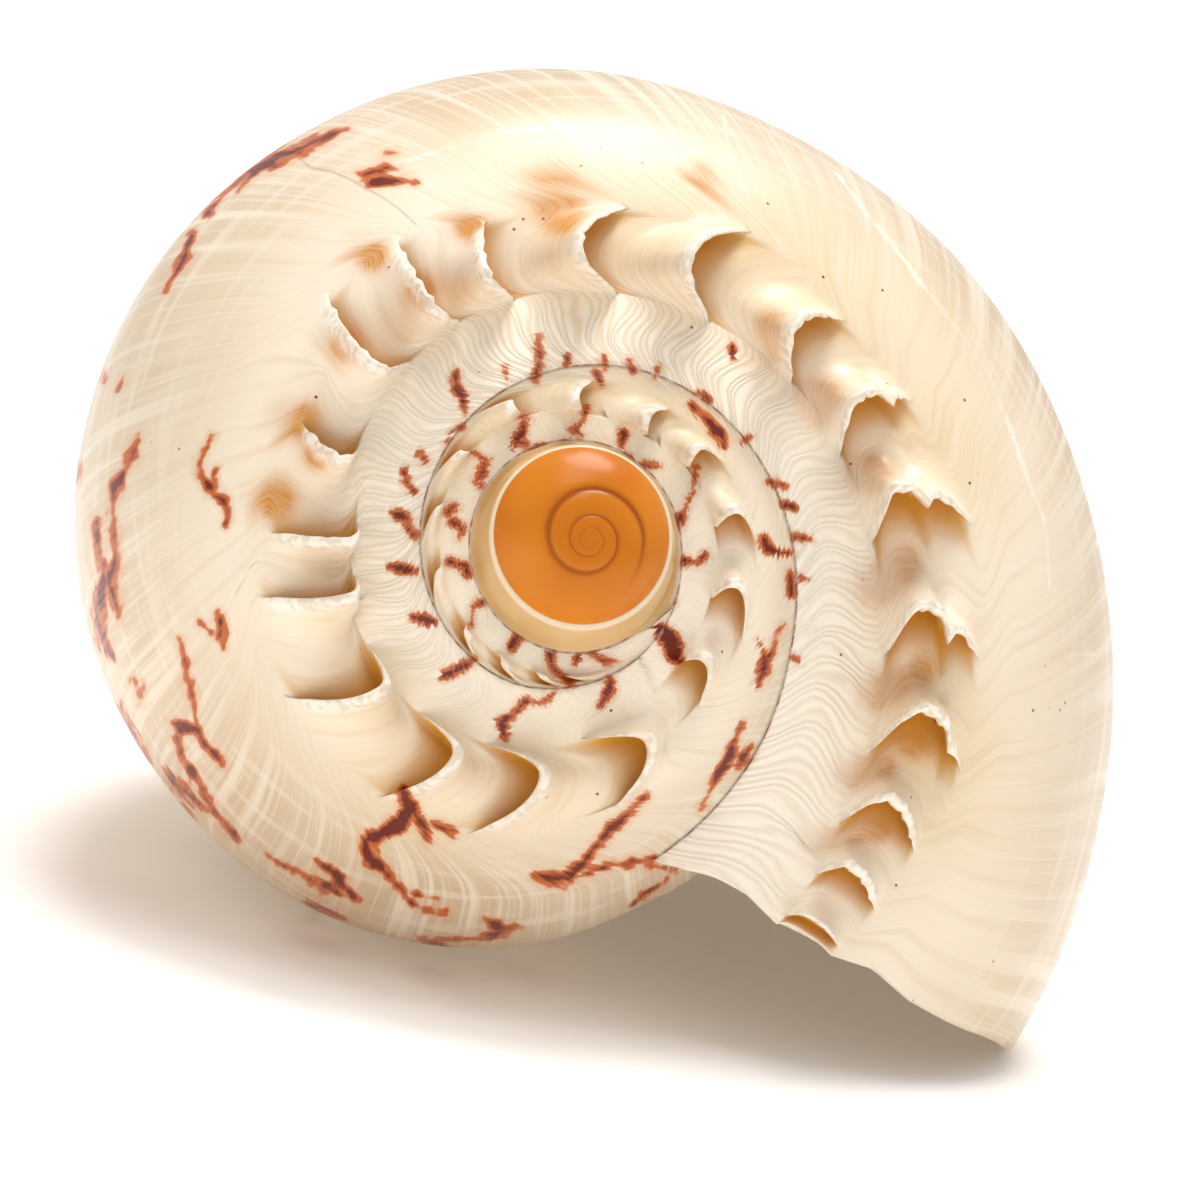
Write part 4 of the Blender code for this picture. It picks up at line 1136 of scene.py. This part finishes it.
def area_light(name, power, size, place_at, aim):
    data = bpy.data.lights.new(name, "AREA")
    data.shape = "RECTANGLE"
    data.size, data.size_y = size
    data.energy = power
    light = bpy.data.objects.new(name, data)
    bpy.context.collection.objects.link(light)
    light.location = place_at
    light.rotation_euler = (Vector(aim) - Vector(place_at)).to_track_quat("-Z", "Y").to_euler()


def make_lights():
    world = bpy.data.worlds.new("studio")
    world.use_nodes = True
    sky = world.node_tree.nodes["Background"]
    sky.inputs["Color"].default_value = (1.0, 1.0, 1.0, 1.0)
    sky.inputs["Strength"].default_value = WORLD_STRENGTH
    bpy.context.scene.world = world
    data = bpy.data.lights.new("sky light", "SUN")
    data.energy = SUN_STRENGTH
    data.angle = math.radians(SUN_ANGLE)
    sun = bpy.data.objects.new("sky light", data)
    sun.rotation_euler = Vector(SUN_WAY).to_track_quat("-Z", "Y").to_euler()
    bpy.context.collection.objects.link(sun)
    area_light("key", 1.25, (0.35, 0.35), (-0.1, -0.25, 0.8), (0.0, 0.0, 0.05))
    area_light("low fill", 0.12, (1.0, 0.4), (0.25, -1.1, 0.12), (0.03, -0.1, 0.03))


def linear(code):
    """A linear colour from a six-digit screen colour."""
    parts = [int(code[k:k + 2], 16) / 255.0 for k in (0, 2, 4)]
    return tuple(p / 12.92 if p <= 0.04045 else ((p + 0.055) / 1.055) ** 2.4 for p in parts) + (1.0,)


# Height of the surface's pleats, growth lines and spiral lines, then how fast the pleats follow
# each other, in radians for a degree, and how far they sway, in radians
PLEAT_HEIGHT = 0.11
LINE_HEIGHT = 0.03
SPIRAL_HEIGHT = 0.03
PLEAT_TURN = 3.5
PLEAT_SWAY = 14.0


class Wiring:
    """Makes shader nodes; each call returns the new node's output."""

    def __init__(self, material):
        self.tree = material.node_tree

    def node(self, kind, inputs, **settings):
        node = self.tree.nodes.new(kind)
        for name, value in settings.items():
            setattr(node, name, value)
        for name, value in inputs.items():
            socket = node.inputs[name]
            if isinstance(value, bpy.types.NodeSocket):
                self.tree.links.new(value, socket)
            else:
                socket.default_value = value
        return node

    def stored(self, name, vector=False):
        node = self.node("ShaderNodeAttribute", {}, attribute_name=name)
        return node.outputs["Vector" if vector else "Fac"]

    def math(self, operation, a, b=0.0, c=0.0):
        return self.node("ShaderNodeMath", {0: a, 1: b, 2: c}, operation=operation).outputs[0]

    def times(self, a, b):
        return self.math("MULTIPLY", a, b)

    def shaken(self, value, noise, middle, size):
        """The value with a noise added, whose middle stands for no change."""
        return self.math("ADD", value, self.times(self.math("SUBTRACT", noise, middle), size))

    def step(self, value, low, high, start=0.0, end=1.0):
        """A soft step from start to end while the value goes from low to high."""
        names = {"Value": value, "From Min": low, "From Max": high, "To Min": start, "To Max": end}
        return self.node("ShaderNodeMapRange", names, interpolation_type="SMOOTHSTEP").outputs[0]

    def mix(self, share, a, b):
        return self.node("ShaderNodeMix", {0: share, 6: a, 7: b}, data_type="RGBA").outputs[2]

    def paint(self, colour, *coats):
        """The colour under coats of paint, each given by its share and its colour's code."""
        for share, code in coats:
            colour = self.mix(share, colour, linear(code))
        return colour

    def noise(self, vector, scale, detail=2.0, roughness=0.5):
        names = {"Vector": vector, "Scale": scale, "Detail": detail, "Roughness": roughness}
        return self.node("ShaderNodeTexNoise", names).outputs["Fac"]

    def grain(self, along, way, seed, detail=1.0, roughness=0.5):
        """Noise over the whorls: how fast it changes with growth and with across, and its seed."""
        x, y = self.times(self.stored("growth"), along), self.times(self.stored("across"), way)
        place = self.node("ShaderNodeCombineXYZ", {0: x, 1: y, 2: seed}).outputs[0]
        return self.noise(place, 1.0, detail, roughness)

    def beside(self, name):
        """Distance outside a stroke's edge, in the photograph's pixels."""
        parts = self.node("ShaderNodeSeparateXYZ", {0: self.stored(name, True)}).outputs
        square = self.math("MULTIPLY_ADD", parts[0], parts[0], self.times(parts[1], parts[1]))
        return self.math("SUBTRACT", self.math("SQRT", square), parts[2])


def shell_material():
    material = bpy.data.materials.new("glossy cream shell")
    material.use_nodes = True
    w = Wiring(material)
    where = w.node("ShaderNodeTexCoord", {}).outputs["Object"]
    names = ("growth", "across", "rim", "amber", "suture", "bud", "inside", "tan", "floor", "seam")
    growth, across, rim, amber, suture, bud, inside, tan, floor, seam = map(w.stored, names)
    on_bud = w.step(bud, 0.01, 0.08)

    # Patterns; growth lines run along each growth line, so theirs are long that way
    fine = w.grain(2.2, 0.07, 0.0, 0.0)
    sway = w.grain(0.3, 0.1, 7.0, 0.0)
    spiral = w.grain(0.05, 1.1, 3.0)
    bands = w.grain(0.6, 0.05, 5.0)
    ragged = w.grain(0.7, 0.6, 11.0, roughness=0.55)
    broad = w.noise(where, 28.0, 1.0)
    patchy = w.noise(where, 90.0, 1.0)
    blot = w.noise(where, 300.0, 1.0)
    speck = w.noise(where, 900.0, 0.0)
    wave = w.math("SINE", w.math("MULTIPLY_ADD", growth, PLEAT_TURN, w.times(sway, PLEAT_SWAY)))
    pleat = w.math("MULTIPLY_ADD", wave, 0.5, 0.5)
    cell = w.node("ShaderNodeTexVoronoi", {"Vector": where, "Scale": 330.0}).outputs["Distance"]

    # Parts of the shell, by their share from 0 to 1
    calm = w.step(floor, 0.2, 0.9, 1.0, 0.15)
    ramp = w.times(w.step(across, 24.0, 9.0), w.step(growth, 560.0, 640.0, 0.25, 1.0))
    belly = w.step(across, 36.0, 51.0)
    near_suture = w.step(suture, 6.5, 0.5)
    near_bud = w.step(across, 26.0, 14.0, 0.0, 0.65)
    pleats = w.times(pleat, ramp)
    two = w.step(broad, 0.35, 0.65)

    ground = w.mix(two, linear("F0D9B4"), linear("F8E8D0"))
    # Darker flanks on the lower body: partly the body's own tan, partly painted shade on the lower sides
    flank_tone_and_shade = w.mix(two, linear("CCB394"), linear("D8C2A6"))
    ground = w.mix(w.times(belly, w.step(patchy, 0.3, 0.75, 1.0, 0.8)), ground, flank_tone_and_shade)
    ground = w.paint(
        ground,
        # Pale growth lines; pale on the pleats' backs, a painted highlight; and tan between them, painted
        # shade in their grooves
        (w.times(w.step(fine, 0.45, 0.8), w.times(calm, 0.4)), "F4E8D4"),
        (w.times(pleats, 0.75), "FFF6E8"),
        (w.times(w.step(pleat, 0.45, 0.0), w.times(ramp, 0.45)), "D2A676"),
        # Broad bands of growth, pale and tan, and pale spiral lines on the belly
        (w.times(w.step(bands, 0.5, 0.7), belly), "EBDCC4"),
        (w.times(w.step(bands, 0.5, 0.3), 0.25), "DBBD94"),
        (w.times(w.step(spiral, 0.5, 0.68), w.times(belly, 0.5)), "F0E2CC"),
        # Lilac beside the suture, painted tan shade in the valleys behind the rims, and cream near the bud
        (w.times(near_suture, w.step(patchy, 0.45, 0.7, 0.0, 0.5)), "C99A98"),
        # Painted tan shade in the valleys beside the hoods
        (w.times(tan, w.step(fine, 0.25, 0.65, 1.0, 0.8)), "D08A2E"),
        (w.times(near_bud, w.step(broad, 0.25, 0.7, 0.6, 1.0)), "F8EDDA"),
    )
    pale = w.step(w.shaken(w.beside("pale_line"), ragged, 0.5, 9.0), 1.8, -0.2)
    ground = w.paint(
        ground,
        (w.times(pale, w.step(patchy, 0.35, 0.6, 0.15, 0.55)), "FFF8EA"),
        (w.step(w.beside("scar"), 1.2, -0.4, 0.0, 0.35), "8F7355"),
        # Painted warm shade on the pits' floors
        (w.times(floor, 0.9), "DBA45C"),
        # Amber deep in the pits: their own colour, with painted glow of light through the thin wall
        (w.times(amber, w.step(patchy, 0.2, 0.7, 1.0, 0.9)), "D59A10"),
    )
    pearl = w.mix(w.step(speck, 0.45, 0.62), linear("F6EEE0"), linear("E0D3C0"))
    ground = w.mix(w.times(rim, w.step(patchy, 0.25, 0.6, 0.9, 0.7)), ground, pearl)

    # Marks: red-brown, darker in the middle, with an orange edge and a faint tan shade round it
    torn = w.beside("mark_0")
    for k in range(1, MARK_LAYERS):
        torn = w.math("MINIMUM", torn, w.beside(f"mark_{k}"))
    for noise, middle, size in ((ragged, 0.5, 9.0), (blot, 0.51, 16.0), (speck, 0.5, 1.5)):
        torn = w.shaken(torn, noise, middle, size)
    chosen = w.step(patchy, 0.56, 0.6)
    line = w.times(w.step(suture, 0.32, 0.1), w.step(suture, -0.2, 0.0))
    beads = w.times(w.step(speck, 0.53, 0.6), w.step(suture, 0.55, 0.35))
    ground = w.paint(
        ground,
        (w.step(torn, 9.0, 1.5, 0.0, 0.4), "DDA06C"),
        (w.step(torn, 3.0, 0.0, 0.0, 0.92), "C25600"),
        (w.step(torn, -0.4, -4.4, 0.0, 0.95), "641200"),
        # Tiny brown pits on the upper side, and the suture with its pale beads
        (w.times(w.times(w.step(cell, 0.085, 0.05), chosen), w.step(across, 50.0, 42.0)), "8A4A20"),
        (w.times(line, w.step(speck, 0.3, 0.55, 0.9, 0.6)), "8E5A30"),
        (w.times(beads, 0.2), "FBF7F0"),
    )

    # The bud: foot band, white ring, orange dome; then the hollow
    band = w.mix(w.step(patchy, 0.3, 0.7), linear("C89A60"), linear("DDBA86"))
    dome = w.mix(w.step(patchy, 0.2, 0.8), linear("C86C10"), linear("D88220"))
    dome = w.paint(dome, (w.times(seam, 0.7), "96440C"))
    top = w.paint(band, (w.step(bud, 0.52, 0.62), "EAD6B8"))
    top = w.mix(w.step(bud, 0.78, 0.92), top, dome)
    colour = w.mix(on_bud, ground, top)
    colour = w.mix(inside, colour, w.mix(two, linear("EFD3AC"), linear("F6E6CC")))

    rough = w.mix(on_bud, w.step(fine, 0.3, 0.7, 0.3, 0.42), (0.27, 0.27, 0.27, 1.0))
    lines = w.times(w.times(fine, calm), LINE_HEIGHT)
    height = w.math("MULTIPLY_ADD", pleats, PLEAT_HEIGHT, lines)
    height = w.math("MULTIPLY_ADD", w.times(spiral, belly), SPIRAL_HEIGHT, height)
    height = w.times(height, w.math("SUBTRACT", 1.0, w.math("MAXIMUM", on_bud, inside)))
    normal = w.node("ShaderNodeBump", {"Height": height, "Distance": MM, "Strength": 1.0}).outputs[0]

    surface = material.node_tree.nodes["Principled BSDF"]
    shine = w.step(bud, 0.01, 0.08, 0.38, 0.16)
    sockets = ("Base Color", "Roughness", "Normal", "Specular IOR Level")
    for name, value in zip(sockets, (colour, rough, normal, shine)):
        material.node_tree.links.new(value, surface.inputs[name])
    surface.inputs["Coat Weight"].default_value = 0.05
    surface.inputs["Coat Roughness"].default_value = 0.12
    return material


bpy.context.scene.view_settings.view_transform = "Standard"
shell = make_shell()
shell.data.materials.append(shell_material())
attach(shell, "root")
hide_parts("melon_shell")
make_floor()
make_camera()
make_lights()
